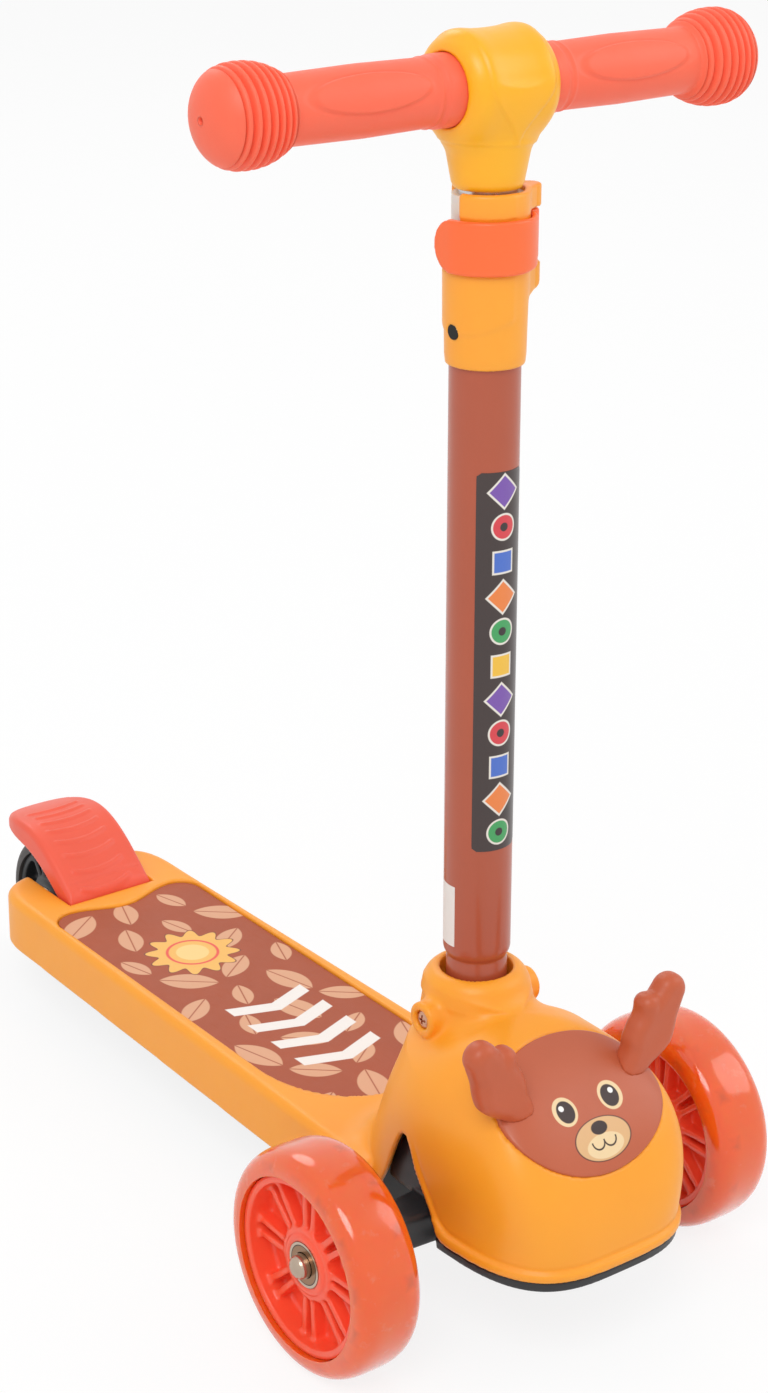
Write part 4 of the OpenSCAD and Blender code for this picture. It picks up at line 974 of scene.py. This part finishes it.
def sleeveField(x, y, z):
    # Sleeve with an ear for the lever's pin, cut by a rounded opening at its back.
    look = clampLook
    cx, cy, t = columnFrame(x, y, z)
    r = np.hypot(cx, cy)
    wide, low, top = look["sleeveR"], look["sleeveLow"], look["sleeveTop"]
    radius = np.interp(t, [low, low + 4, low + 40, top], [wide - 1.1, wide - 0.7, wide, wide])
    body = roundCorner(roundCorner(r - radius, t - top, 0.9), low - t, 0.6)
    ledge = leverAt - leverHalf
    share = np.clip(cx / look["pinAt"], 0, 1)
    ear = np.hypot(cx - look["pinAt"] * share, cy) - (wide - 0.1 - 13.2 * share)
    ear = roundCorner(ear, ledge - 14.5 - t + 0.35 * (cx - wide), 2.5)
    body = roundMin(body, roundCorner(ear, t - top, 1.2), 2.0)
    band = np.maximum(wide - 0.02 - r, np.abs(t - leverAt) - leverHalf - 0.5)
    body = np.maximum(body, -band)
    angle = np.degrees(np.arctan2(cy, cx)) % 360
    centre, half = (look["slitFrom"] + look["slitTo"]) / 2, (look["slitTo"] - look["slitFrom"]) / 2
    across = (np.abs(angle - centre) - half) * np.pi / 180 * wide
    slit = np.maximum(roundCorner(across, ledge + 2 - t, 4.0), t - top - 9)
    body = roundMax(body, -np.maximum(slit, 4 - r), 0.6)
    screw = np.maximum(np.hypot(cy, t - look["screwAt"]) - 3.0, cx + 15.0)
    bore = r - columnLook["tubeR"] - 0.15
    return roundMax(roundMax(body, -screw, 0.5), -bore, 0.5)


def clampSleeve():
    # the sleeve, on a grid that follows the column's lean
    look = clampLook
    grid = (steps(-20.5, 29, 0.9), steps(columnY - 21 + 7, columnY + 21 + 9.6, 0.9),
            steps(look["sleeveLow"] - 2, look["sleeveTop"] + 2, 0.9))
    orange = plastic("orangeSleeve", {"colour": look["sleeveColour"], "rough": 0.38, "mottle": 0.03,
                                      "soft": 0.15})
    addSolid("clampSleeve", sleeveField, grid, "deck", orange, ["clamp_sleeve"])


def leverField(x, y, z):
    # Band round the front half of the sleeve, a knuckle on the pin, and a free end
    # that runs straight back into a round tab.
    look = clampLook
    cx, cy, t = columnFrame(x, y, z)
    r = np.hypot(cx, cy)
    h = t - leverAt
    inner = look["sleeveR"] + 0.45
    outer = inner + look["leverThick"]
    band = most(inner - r, r - outer, cy - 0.5, -cy - 60)
    tab = most(-outer - cx, cx + inner, cy - 12, -cy - 1, np.hypot(np.maximum(cy + 3, 0), h) - leverHalf)
    knuckle = np.hypot(cx - look["pinAt"], cy) - 4.4
    bridge = most(np.abs(cx - 21) - 2.5, cy - 0.2, -4.4 - cy, inner - r)
    body = roundMin(np.minimum(band, tab), np.minimum(knuckle, bridge), 1.2)
    waist = leverHalf - 0.5 * smooth((cx - 2) / 10)
    return roundCorner(body, np.abs(h) - waist, 1.3)


def clampLever():
    # the lever, on a grid round its own height on the column
    grid = (steps(-23, 28.5, 0.75), steps(columnY - 23 + 7.5, columnY + 23, 0.75),
            steps(leverAt - 17, leverAt + 17, 0.85))
    red = plastic("leverRed", {"colour": clampLook["leverColour"], "rough": 0.36, "mottle": 0.03, "soft": 0.15})
    addSolid("clampLever", leverField, grid, "lever", red, ["clamp_lever"])


barLook = {
    "jointColour": (255, 181, 26),
    "gripColour": (252, 108, 78),
    "barAt": 570.0,       # height of the bar's axis along the column
    "barrelR": 24.4,
    "barrelHalf": 24.8,
    "neckLow": alongColumn("t_joint", 14.6)[0],
    "flangeR": 15.4,
    "gripFrom": 20.4,
    "gripR": 14.4,
    "ballR": 21.4,
    "ballFrom": 108.5,
    "half": 144.0,
    "ribs": 7,
    "ribStep": 3.85,
    "ribDeep": 2.5,
    "padHigh": 0.9,       # how far the oval pads stand out of the grips
    "padAt": 70.0,
    "padHalf": 30.0,
}


def jointField(x, y, z):
    # Barrel across the bar flowing into the neck, with its cheeks set off by a crease.
    look = barLook
    cx, cy, t = columnFrame(x, y, z)
    h = t - look["barAt"]
    r = np.hypot(cy, h)
    end = np.abs(cx)
    radius = look["barrelR"] - 0.5 - 0.5 * hump(end / 10) + 0.5 * hump((end - 14) / 4)
    barrel = roundCorner(r - radius, end - look["barrelHalf"] + 0.2, 9.2)
    rr = np.hypot(cx, cy)
    low = look["neckLow"]
    neckR = np.interp(t, [low, low + 3, 546, 558, look["barAt"]], [14.9, 16.2, 19.2, 21.6, 22.6])
    neck = np.maximum(roundCorner(rr - neckR, low - t, 1.2), t - look["barAt"])
    body = roundMin(barrel, neck, 7)
    # crease that falls from the barrel's end and sweeps in to the front of the neck
    crease = end - 17.5 + 15.5 * smooth((4 - h) / 26)
    shown = smooth((h + 24) / 4) * (1 - smooth((h - 20) / 4))
    body = body + shown * (0.8 * hump(crease / 0.8) + 0.7 * smooth(crease / 1.6))
    # the neck is a little thinner below the ring where the creases meet
    body = body + 0.55 * smooth((-h - 22.5 - 0.06 * cx) / 1.0)
    socket = np.maximum(rr - 11.2, t - 556)
    mouth = np.maximum(r - look["flangeR"] - 0.2, look["barrelHalf"] - 5 - end)
    return roundMax(roundMax(body, -socket, 0.5), -mouth, 0.8)


def tJoint():
    # the joint, on a grid round the top of the column
    middle = columnY + 9.9
    grid = steps(-26.5, 26.5, 1.0), steps(middle - 26.5, middle + 26.5, 1.0), steps(521.5, 597, 1.0)
    yellow = plastic("yellowJoint", {"colour": barLook["jointColour"], "rough": 0.34, "mottle": 0.03,
                                     "soft": 0.15})
    addSolid("tJoint", jointField, grid, "mast", yellow, ["t_joint"])


def gripRadius(x, angle):
    # Turned grip: flange, barrel with two oval pads, ribbed ball with a smooth cap.
    look = barLook
    ballFrom, half, gripR, ballR = look["ballFrom"], look["half"], look["gripR"], look["ballR"]
    barrel = np.interp(x, [20, 31, 33, 68, 108], [look["flangeR"], look["flangeR"], gripR, gripR + 0.6, gripR])
    lip = hump((x - 35.5) / 0.8) * 0.5
    # the ball is widest 17 mm from its start, and u is 1 at the cap's end
    u = np.clip((x - ballFrom - 17) / (half - ballFrom - 17), 0, 1)
    ball = np.where(x < ballFrom + 17, ballR - 4.6 * np.abs((ballFrom + 17 - x) / 17) ** 2.2,
                    ballR * np.maximum(1 - u ** 2.5, 0) ** 0.46)
    along = x - ballFrom
    wave = 0.5 + 0.5 * np.cos(2 * np.pi * (along / look["ribStep"] - 0.5))
    ribbed = (along > 0) * (along < look["ribStep"] * look["ribs"] + 0.01)
    ribs = -look["ribDeep"] * (1 - wave) ** 1.7 * ribbed
    rise = smooth((x - ballFrom + 2.2) / 2.2)
    radius = (barrel + lip) * (1 - rise) + (ball + ribs) * rise
    pad = 0
    for turn in (0, np.pi):
        wide = (angle - turn + 0.4 + np.pi) % (2 * np.pi) - np.pi
        oval = np.hypot((x - look["padAt"]) / look["padHalf"], wide * gripR / 8.2)
        pad = pad + look["padHigh"] * (1 - smooth((oval - 0.9) / 0.12)) - 0.25 * hump((oval - 1.06) / 0.05)
    return radius + pad * (x > 37.5) * (x < 104)


def grips():
    # Rings of (x, r cos a, r sin a) along the bar, mirrored for the left side, with a
    # small blind hole in the middle of each cap.
    look = barLook
    coral = plastic("coralGrip", {"colour": look["gripColour"], "rough": 0.46, "mottle": 0.03, "soft": 0.2,
                                  "wear": 0.03, "softRadius": (1.0, 0.35, 0.25)})
    turns = 200
    start, half, capFrom = look["gripFrom"], look["half"], look["ballFrom"] + 28
    cap = capFrom + (half - look["ballFrom"] - 28) * np.sin(np.linspace(0.04, 0.5 * np.pi, 36)[:-1])
    x = np.concatenate([np.linspace(start, 36, 30), np.linspace(36.5, 105, 90),
                        np.linspace(105.3, capFrom, 200), cap])
    angle = np.linspace(0, 2 * np.pi, turns, endpoint=False)
    r = gripRadius(x[:, None], angle[None, :])
    r[-1] = np.maximum(r[-1], 1.9)
    x = np.concatenate([[start], x, [half, half - 0.5, half - 5]])
    r = np.vstack([np.full(turns, 11.2), r, np.full(turns, 1.8), np.full(turns, 1.4), np.full(turns, 1.3)])
    for name, side in (("left", -1), ("right", 1)):
        points = np.stack([side * x[:, None] + 0 * r, r * np.cos(angle), r * np.sin(angle)], -1).reshape(-1, 3)
        ends = np.array([[side * start, 0, 0], [side * (half - 5), 0, 0]])
        faces = tubeFaces(len(x), turns)
        if side < 0:
            faces = [f[:, ::-1] for f in faces]
        points = np.vstack([points, ends]) + [0, 0, look["barAt"]]
        addPiece("grip" + name.title(), onColumn(points), faces, "mast", coral, ["grip_" + name])


wheelLook = {
    "coreColour": (255, 92, 60),
    "tyreColours": ((255, 94, 22), (255, 110, 30)),
    "tyreR": 55.0,
    "tyreHalf": 17.3,
    "rimR": 43.5,
    "rimHalf": 15.0,
    "rimWall": 4.0,
    "hubR": 15.0,
    "hubHalf": 11.9,
    "spokes": 8,
    "spread": 2.6,        # half the gap between the two ribs of a spoke, at the hub
    "gridHalf": (16.0, 44.6),    # room round the core, along the axle and across it
    "lamps": 14,          # lamp modules that show through the tyre
    "lampR": 47.6,
}


def tyreProfile(outer, base, half, count=64):
    # Superellipse section of a cast tyre with a fine parting line on its crown.
    t = np.linspace(0, np.pi, count)
    r = base + (outer - base) * np.sign(np.sin(t)) * np.abs(np.sin(t)) ** 0.72
    h = -half * np.sign(np.cos(t)) * np.abs(np.cos(t)) ** 0.58
    r = r + 0.25 * hump(h / 0.5)
    r[0] = r[-1] = base
    inner = np.linspace(half, -half, 6)[1:-1]
    return np.concatenate([np.stack([r, h], -1), np.stack([np.full(4, base), inner], -1), [[r[0], h[0]]]])


def tyreMaterial():
    # Tinted clear plastic, cloudy inside, with darker lamp modules that show through
    # as blocks at even angles near the rim and across the tread.
    look = wheelLook
    material, place = startMaterial("coralTyre")
    fine = noise(place, 900.0, 2.0)
    slow = noise(place, 60.0)
    base = mix(slow, *[light(colour) for colour in look["tyreColours"]])
    x, y, z, r = wheelAxes(place)
    across = x.size() - halfTrack
    step = 2 * math.pi / look["lamps"]
    turn = (z.maths("ARCTAN2", y) * (1 / step) + 20.0).maths("FRACT") - 0.5
    block = (turn.size() * r * step - 4.2).most((r - look["lampR"]).size() - 1.9)
    tread = (turn.size() * r * step - 3.0).most((across + 8.5).size() - 2.4).most(51.0 - r)
    shown = ((slow - 0.35) * 2.2).clipped(0.45)
    base = mix(inside(block.least(tread), 1.6) * shown, base, light((176, 84, 44)))
    bright = ((noise(place, 130.0, 4.0) - 0.6) * 4.0).clipped(0.4)
    base = mix(bright, base, light((255, 142, 98)))
    bump = place.add("ShaderNodeBump", {}, {"Strength": 0.25, "Distance": 0.0001, "Height": fine + slow * 1.5})
    return finishMaterial(material, place.add("ShaderNodeBsdfPrincipled", {}, {
        "Base Color": base, "Roughness": (slow - 0.5) * 0.1 + 0.15, "Normal": bump, "IOR": 1.45,
        "Transmission Weight": 0.12, "Subsurface Weight": 0.9, "Subsurface Scale": 0.006,
        "Subsurface Radius": (1.0, 0.35, 0.15), "Coat Weight": 0.7, "Coat Roughness": 0.05}))


def tyres():
    # one turned tyre, laid on each front wheel
    look = wheelLook
    clear = tyreMaterial()
    profile = tyreProfile(look["tyreR"], look["rimR"] + 0.15, look["tyreHalf"])
    points, faces = lathe(profile, 192)
    for name, side in (("left", -1), ("right", 1)):
        at = turnedAcross(points[:-2], (side * halfTrack, 0, frontR))
        addPiece("tyre" + name.title(), at, faces[:1], "wheel_" + name, clear, ["tyre_" + name])


def coreField(x, y, z, look):
    # Rim, hub, thin web and paired spokes joined with fillets; x is along the axle.
    hubR, hubHalf, rimR = look["hubR"], look["hubHalf"], look["rimR"]
    r = np.hypot(y, z)
    side = np.abs(x)
    rim = np.maximum(np.abs(r - rimR + look["rimWall"] / 2) - look["rimWall"] / 2, -1)
    rim = roundCorner(rim, side - look["rimHalf"], 1.0)
    hub = roundCorner(r - hubR, side - hubHalf, 1.6)
    ring = np.maximum(np.abs(r - hubR - 1.2) - 1.2, side - hubHalf + 1.5)
    web = np.maximum(side - 2.0, r - rimR + 1)
    step = 2 * np.pi / look["spokes"]
    angle = (np.arctan2(z, y) + step / 2) % step - step / 2
    lateral = r * np.sin(np.abs(angle))
    # each spoke is a pair of ribs that spread towards the rim
    gap = look["spread"] + 0.055 * (r - hubR)
    spoke = np.maximum(np.abs(lateral - gap) - 1.5, side - (hubHalf - 2.2 - 0.03 * (r - hubR)))
    spoke = np.maximum(spoke, np.maximum(hubR - 3 - r, r - rimR + 2))
    spoke = roundCorner(spoke, side - hubHalf + 2.2, 0.9)
    body = roundMin(np.minimum(hub, ring), rim, 1.5)
    body = roundMin(body, roundMin(spoke, web, 2.0), 3.0)
    bore = np.maximum(r - 11.15, hubHalf - 7.3 - side)
    return roundMax(body, -np.minimum(bore, r - 9.0), 0.6)


def coreShape(look):
    # points and faces of a wheel's core round its own middle
    def field(x, y, z):
        # the core with this wheel's sizes
        return coreField(x, y, z, look)
    wide, high = look["gridHalf"]
    return levelSurface(field, steps(-wide, wide, 1.0), steps(-high, high, 1.0), steps(-high, high, 1.0))


def cores():
    # one core, moved to each front wheel
    coral = plastic("coralCore", {"colour": wheelLook["coreColour"], "rough": 0.34, "mottle": 0.04, "soft": 0.2,
                                  "coat": 0.15, "softRadius": (1.0, 0.3, 0.2)})
    points, faces = coreShape(wheelLook)
    for name, side in (("left", -1), ("right", 1)):
        at = points + [side * halfTrack, 0, frontR]
        addPiece("core" + name.title(), at, faces, "wheel_" + name, coral, ["core_" + name])


rearLook = {
    "coreColour": (40, 42, 44),
    "tyreColour": (66, 62, 60),
    "tyreR": 40.0,
    "tyreHalf": 12.0,
    "rimR": 32.0,
    "rimHalf": 10.5,
    "rimWall": 3.5,
    "hubR": 15.0,
    "hubHalf": 11.9,
    "spokes": 6,
    "spread": 2.6,
    "gridHalf": (13.0, 33.4),
}


def rearWheel():
    # core of the same kind as the front ones, in black, and a turned solid tyre
    look = rearLook
    black = plastic("blackSteelCore", {"colour": look["coreColour"], "rough": 0.42, "mottle": 0.1})
    points, faces = coreShape(look)
    centre = np.array([0, wheelbase, rearR])
    addPiece("rearCore", points + centre, faces, "rear_wheel", black, ["rear_core"])
    points, faces = lathe(tyreProfile(look["tyreR"], look["rimR"] + 0.15, look["tyreHalf"], 48), 144)
    rubber = plastic("blackTyre", {"colour": look["tyreColour"], "rough": 0.5, "mottle": 0.12, "wear": 0.15,
                                   "bump": 0.4})
    addPiece("rearTyre", turnedAcross(points[:-2], centre), faces[:1], "rear_wheel", rubber,
             ["rear_tyre"])


brakeLook = {
    "colour": (240, 95, 70),
    "half": 26.5,
    "wall": 2.6,
    "front": wheelbase - 53,
    "end": wheelbase + 32,
    "low": 69.0,          # height of its top at the front edge
    "high": 97.0,
    "roundFrom": 51.0,    # from its front edge to where its plan rounds off
    "roundLong": 34.4,
    "lines": 8,           # raised bars across the top
    "lineStep": 8.2,
    "pinY": wheelbase - 42,
    "pinZ": 59.0,
}


def brakeShare(y):
    # share of the brake's length at y, a little past both ends
    look = brakeLook
    return np.clip((y - look["front"]) / (look["end"] - look["front"]), -0.1, 1.1)


def brakeTop(y):
    # height of the brake's top along its length: up a quarter sine, then down a little
    look = brakeLook
    u = brakeShare(y)
    rise = np.sin(np.minimum(1, u / 0.62) * np.pi / 2)
    return look["low"] + (look["high"] - look["low"]) * rise - 7 * (np.maximum(0, u - 0.62) / 0.38) ** 2


def brakeField(x, y, z):
    # Bent shell with bowed bars on its top, side walls that get lower to the back, and
    # two knuckles on the pin. Its plan ends in |x/a|^2.8 + |y/b|^2.6 = 1.
    look = brakeLook
    front, half, wall = look["front"], look["half"], look["wall"]
    slope = brakeTop(y + 0.5) - brakeTop(y - 0.5)
    # the top is lightly crowned across its width, with rounded shoulders
    top = (z - brakeTop(y) + 0.0009 * x * x) / np.sqrt(1 + slope * slope)
    p = np.abs(x) / half
    v = np.maximum(y - (front + look["roundFrom"]), 0) / look["roundLong"]
    plan = (np.maximum(p ** 2.8 + v ** 2.6, 1e-9) ** (1 / 2.7) - 1) * np.where(v > p, look["roundLong"], half)
    plan = np.where(y < front + look["roundFrom"], np.abs(x) - half, plan)
    plan = np.maximum(plan, front - y)
    bars = 0
    for k in range(look["lines"]):
        at = front + 61 - k * look["lineStep"] * (0.86 + 0.02 * k)
        bow = at + 0.010 * (x + 2) ** 2 - 2.5
        end = 1 - smooth((np.abs(x + 1) - 15.5) / 2.5)
        bars = bars + 1.5 * (1 - smooth((np.abs(y - bow) - 0.5) / 1.3)) * end
    fold = 0.45 * hump((y - front - 7.5) / 0.8) * (1 - smooth((np.abs(x) - 22) / 3))
    outer = roundCorner(plan, top - bars * 0.6 + fold, 3.4)
    inner = most(plan + wall, top + wall, front + wall - y)
    skirt = brakeTop(y) - (13 * (1 - np.clip(brakeShare(y), 0, 1) ** 3) + 3.6) - z
    body = roundMax(np.maximum(outer, -inner), skirt, 1.2)
    pin = np.hypot(y - look["pinY"], z - look["pinZ"])
    knuckle = np.maximum(pin - 4.9, np.abs(np.abs(x) - 17.4) - 8.6)
    lug = most(np.abs(y - look["pinY"]) - 4.8, np.abs(z - 65) - 7, np.abs(np.abs(x) - 24.4) - 1.2)
    body = np.minimum(body, np.minimum(knuckle, lug))
    return roundMax(body, 2.9 - pin, 0.3)


def footBrake():
    # the brake's shell, on a grid along its whole length
    look = brakeLook
    grid = steps(-27.6, 27.6, 0.95), steps(look["front"] - 1.5, look["end"] + 2, 0.85), steps(53, 99.5, 0.95)
    coral = plastic("coralBrake", {"colour": look["colour"], "rough": 0.4, "mottle": 0.04, "soft": 0.18,
                                   "wear": 0.06})
    addSolid("footBrake", brakeField, grid, "brake", coral, ["brake"])


truckLook = {
    "hubR": 13.0,
    "hubHalf": 16.0,
    "armEnd": 80.0,
    "armAt": [0, 46, 66, 80],         # places along an arm, and for each of them
    "armDeep": [11, 11, 9, 6],        # its half depth,
    "armTop": [9.5, 9.5, 9, 6],       # its height over the axle
    "armLow": [8.5, 8.5, 9, 6],       # and under it
    "bossR": 7.5,
    "springAt": 35.0,
    "towerAt": 46.5,
    "tower": [(-13, 60), (-9, 69), (-4, 78), (2, 88), (6, 92), (10, 93.5), (15, 92), (21, 86), (27, 75),
              (30, 62)],
}


def truckField(x, y, z):
    # Arms with a ridge along the top, tapering to the axle bosses, round a middle hub.
    look = truckLook
    side = np.abs(x)
    h = z - frontR
    along = y * pivotDir[1] + (z - pivotZ) * pivotDir[2]
    up = -y * pivotDir[2] + (z - pivotZ) * pivotDir[1]
    hub = roundCorner(np.hypot(x, up) - look["hubR"], np.abs(along) - look["hubHalf"], 1.0)
    deep, top, low = (np.interp(side, look["armAt"], look[key]) for key in ("armDeep", "armTop", "armLow"))
    arm = roundCorner(np.abs(y) - deep, np.maximum(h - top, -h - low), 2.4)
    # a hollow along the flank leaves a ridge above and below it
    flank = hump(h / 4.5) * smooth((side - 34) / 6) * (1 - smooth((side - 70) / 6))
    arm = arm + 1.5 * flank * smooth((np.abs(y) - 3) / 3)
    arm = np.maximum(arm, side - look["armEnd"])
    boss = roundCorner(np.hypot(y, h) - look["bossR"], side - (halfTrack - 13.2), 0.8)
    body = roundMin(roundMin(arm, np.maximum(boss, 50 - side), 4), hub, 3)
    cup = most(np.hypot(side - look["springAt"], y) - 7.8, z - 66.2, frontR - z)
    body = roundMin(body, cup, 1.5)
    # tower over each arm, which fills the arch from inside
    thick = np.abs(side - look["towerAt"] + 0.04 * np.maximum(z - 75, 0)) - 1.3
    body = roundMin(body, roundCorner(polygonDistance(y, z, look["tower"]), thick, 0.8), 2.0)
    return np.maximum(body, -np.maximum(np.hypot(y, h) - 4.1, 48 - side))


def truckArms():
    # arms and towers, on a grid whose steps across are the same on both sides
    xs = np.concatenate([-steps(20, 95, 1.2)[::-1], steps(-20, 20, 1.2)[1:-1], steps(20, 95, 1.2)])
    grid = xs, steps(-24, 32, 1.1), steps(36, 95.5, 1.1)
    addSolid("truckArms", truckField, grid, "truck", blackMoulding(), ["truck"])


screwLook = {
    "colour": (206, 158, 132),
    "reach": 32.4,        # how far its head reaches across the neck
    "domeR": 9.5,
    "headR": 4.3,
    "slotHalf": 0.55,
    "slotLong": 2.4,
    "slotDeep": 1.5,
}


def neckScrew():
    # Pan head of the cross bolt, with a crossed recess, sunk in its boss.
    look = screwLook
    at = shellLook["bossAt"]

    def field(x, y, z):
        # a low dome inside the head's rim, less two crossed slots
        cx, cy, t = columnFrame(x, y, z)
        v = t - at
        r = np.hypot(cy, v)
        dome = np.hypot(r, np.minimum(cx + look["reach"] - look["domeR"], 0)) - look["domeR"]
        body = roundCorner(np.maximum(dome, r - look["headR"]), cx + 28.5, 0.3)
        cross = np.minimum(np.maximum(np.abs(cy) - look["slotHalf"], np.abs(v) - look["slotLong"]),
                           np.maximum(np.abs(v) - look["slotHalf"], np.abs(cy) - look["slotLong"]))
        return np.maximum(body, -np.maximum(cross, cx + look["reach"] - look["slotDeep"]))

    middle = columnY + at * rakeSin / rakeCos
    grid = steps(-33, -28, 0.22), steps(middle - 5, middle + 5, 0.22), steps(at - 5, at + 5, 0.22)
    steel = plastic("warmSteel", {"colour": look["colour"], "rough": 0.3, "metal": 1.0, "mottle": 0.08,
                                  "wear": 0.1})
    addSolid("neckScrew", field, grid, "deck", steel, ["neck_bolt"])


def bearingPaint(place, base):
    # brass-toned seal between the races of the front wheels' bearings
    seal = (wheelAxes(place)[3] - 7.6).size() - 1.9
    base = mix(inside(seal, 0.1), base, light((150, 118, 92)))
    return mix(inside(seal.size() - 0.22, 0.1), base, light((46, 40, 36)))


def dressCadNodes():
    # The remaining nodes keep their CAD shape and take a material for their slot.
    metal = {"metal": 1.0, "mottle": 0.05, "grainScale": 2600.0, "scratchAlong": (2500.0, 160.0, 2500.0)}
    looks = {
        "printed_mat": ("printedMat", {"colour": matLook["colour"], "rough": 0.52, "mottle": 0.07, "bump": 0.5,
                                       "grainScale": 2200.0, "bumpDepth": 0.00012, "wear": 0.08}, matPaint),
        "bright_steel": ("brightSteel", {**metal, "colour": (186, 168, 150), "rough": 0.3, "wear": 0.12}),
        "black_steel": ("blackSteel", {"colour": (30, 29, 29), "rough": 0.35, "metal": 0.6}),
        "clear_bush": ("clearBush", {"colour": (226, 220, 210), "rough": 0.4, "soft": 0.2}),
        "spring_steel": ("springSteel", {**metal, "colour": (160, 160, 164), "rough": 0.35}),
        "bearing_steel": ("bearingSteel", {**metal, "colour": (192, 176, 158), "rough": 0.22}, bearingPaint),
        "spacer_steel": ("spacerSteel", {**metal, "colour": (165, 165, 165), "rough": 0.4}),
        "inner_alloy": ("innerAlloy", {**metal, "colour": (205, 205, 208), "rough": 0.28}),
        "light_chip": ("lightChip", {"colour": (170, 84, 66), "rough": 0.45}),
        "pad_rubber": ("padRubber", {"colour": (34, 34, 34), "rough": 0.6}),
    }
    made = {key: plastic(*look) for key, look in looks.items()}
    made["black_plastic"] = blackMoulding()
    made["coral_grip"] = bpy.data.materials["coralGrip"]
    made["black_tyre"] = bpy.data.materials["blackTyre"]
    for node in frame["nodes"].values():
        for index, slotHeld in enumerate(node.material_slots):
            key = slotHeld.material.name.split(".")[0] if slotHeld.material else ""
            if key in made:
                node.data.materials[index] = made[key]


stageLook = {
    "floorHalf": 6.0,
    "floorShades": ((249, 249, 249), (252, 252, 252)),
    "glow": 0.84,         # share of the floor's plain white that the camera sees
    "air": 0.66,          # strength of the world's light
    # place, aim, width in metres and watts of each lamp
    "lamps": {"keyLamp": ((-1.6, -1.5, 2.6), (0, 0, 0.25), 1.6, 34.0),
              "fillLamp": ((1.9, -1.2, 1.6), (0, 0, 0.25), 1.6, 11.0),
              "backLamp": ((0.4, 2.2, 2.2), (0, 0, 0.2), 1.4, 12.0)},
}


def seenPlainly(tree):
    # 1 for what the camera sees, also in gloss and through clear plastic
    path = Wire(tree, tree.nodes.new("ShaderNodeLightPath").outputs["Is Camera Ray"])
    return path.most(path.part("Is Glossy Ray")).most(path.part("Is Transmission Ray"))


def floorMaterial():
    # White sweep: lit floor for shadows, with a share of plain glow to the camera.
    material, place = startMaterial("paleFloor")
    tint = mix(noise(place, 40.0, 2.0), *[light(shade) for shade in stageLook["floorShades"]])
    diffuse = place.add("ShaderNodeBsdfDiffuse", {}, {"Color": tint, "Roughness": 0.5})
    glow = place.add("ShaderNodeEmission", {}, {"Color": (1, 1, 1, 1), "Strength": 1.0})
    share = seenPlainly(material.node_tree) * stageLook["glow"]
    return finishMaterial(material, place.add("ShaderNodeMixShader", {}, {0: share, 1: diffuse, 2: glow}))


def areaLamp(name, at, aim, size, power):
    # round soft lamp at one place, turned to another
    lamp = bpy.data.lights.new(name, "AREA")
    lamp.shape = "DISK"
    lamp.size = size
    lamp.energy = power
    holder = bpy.data.objects.new(name, lamp)
    bpy.context.scene.collection.objects.link(holder)
    holder.location = at
    holder.rotation_euler = (Vector(aim) - Vector(at)).to_track_quat("-Z", "Y").to_euler()


def setStage():
    # pale floor, plain world and three soft lamps
    look = stageLook
    half = look["floorHalf"]
    mesh = bpy.data.meshes.new("floor")
    corners = [(-half, -half, 0), (half, -half, 0), (half, half, 0), (-half, half, 0)]
    mesh.from_pydata(corners, [], [(0, 1, 2, 3)])
    floor = bpy.data.objects.new("floor", mesh)
    bpy.context.scene.collection.objects.link(floor)
    mesh.materials.append(floorMaterial())
    world = bpy.data.worlds.new("studio")
    bpy.context.scene.world = world
    world.use_nodes = True
    tree = world.node_tree
    tree.nodes.clear()
    seen = seenPlainly(tree)
    strength = seen * (1.0 - look["air"]) + look["air"]
    glow = seen.add("ShaderNodeBackground", {}, {"Color": (1, 1, 1, 1), "Strength": strength})
    tree.links.new(glow.socket, tree.nodes.new("ShaderNodeOutputWorld").inputs["Surface"])
    for name, lamp in look["lamps"].items():
        areaLamp(name, *lamp)


cameraLook = {
    "lens": 73.04,
    "place": (-0.74972, -1.06657, 0.78090),
    "azimuth": 37.22,
    "pitch": 22.33,
    "roll": 0.71,
}


def setCamera():
    # Camera ahead and to one side, looking down a little: its axes are the direction
    # of view, the level line across it, and their product, both turned by the roll.
    look = cameraLook
    camera = bpy.data.cameras.new("camera")
    camera.lens = look["lens"]
    camera.sensor_width = 36
    holder = bpy.data.objects.new("camera", camera)
    bpy.context.scene.collection.objects.link(holder)
    azimuth, pitch, roll = (math.radians(look[key]) for key in ("azimuth", "pitch", "roll"))
    ahead = Vector((math.sin(azimuth) * math.cos(pitch), math.cos(azimuth) * math.cos(pitch), -math.sin(pitch)))
    right = Vector((math.cos(azimuth), -math.sin(azimuth), 0))
    up = right.cross(ahead)
    side = math.cos(roll) * right + math.sin(roll) * up
    rise = -math.sin(roll) * right + math.cos(roll) * up
    turn = Matrix((side, rise, -ahead)).transposed()
    holder.matrix_world = Matrix.Translation(look["place"]) @ turn.to_4x4()
    bpy.context.scene.camera = holder


bpy.context.scene.view_settings.view_transform = "Standard"
for stage, makers in [
        ("stage and camera set", [setCamera, setStage]),
        ("body shell made", [bodyShell]),
        ("cover, plate and antlers made", [frontCover, facePlate, antlers]),
        ("column made", [steeringTube, tubeLabel, whiteSticker, clampSleeve, clampLever]),
        ("handlebar made", [tJoint, grips]),
        ("wheels made", [tyres, cores, rearWheel]),
        ("brake, truck and bolt made", [footBrake, truckArms, neckScrew]),
        ("remaining nodes dressed", [dressCadNodes])]:
    for maker in makers:
        maker()
    print(stage)
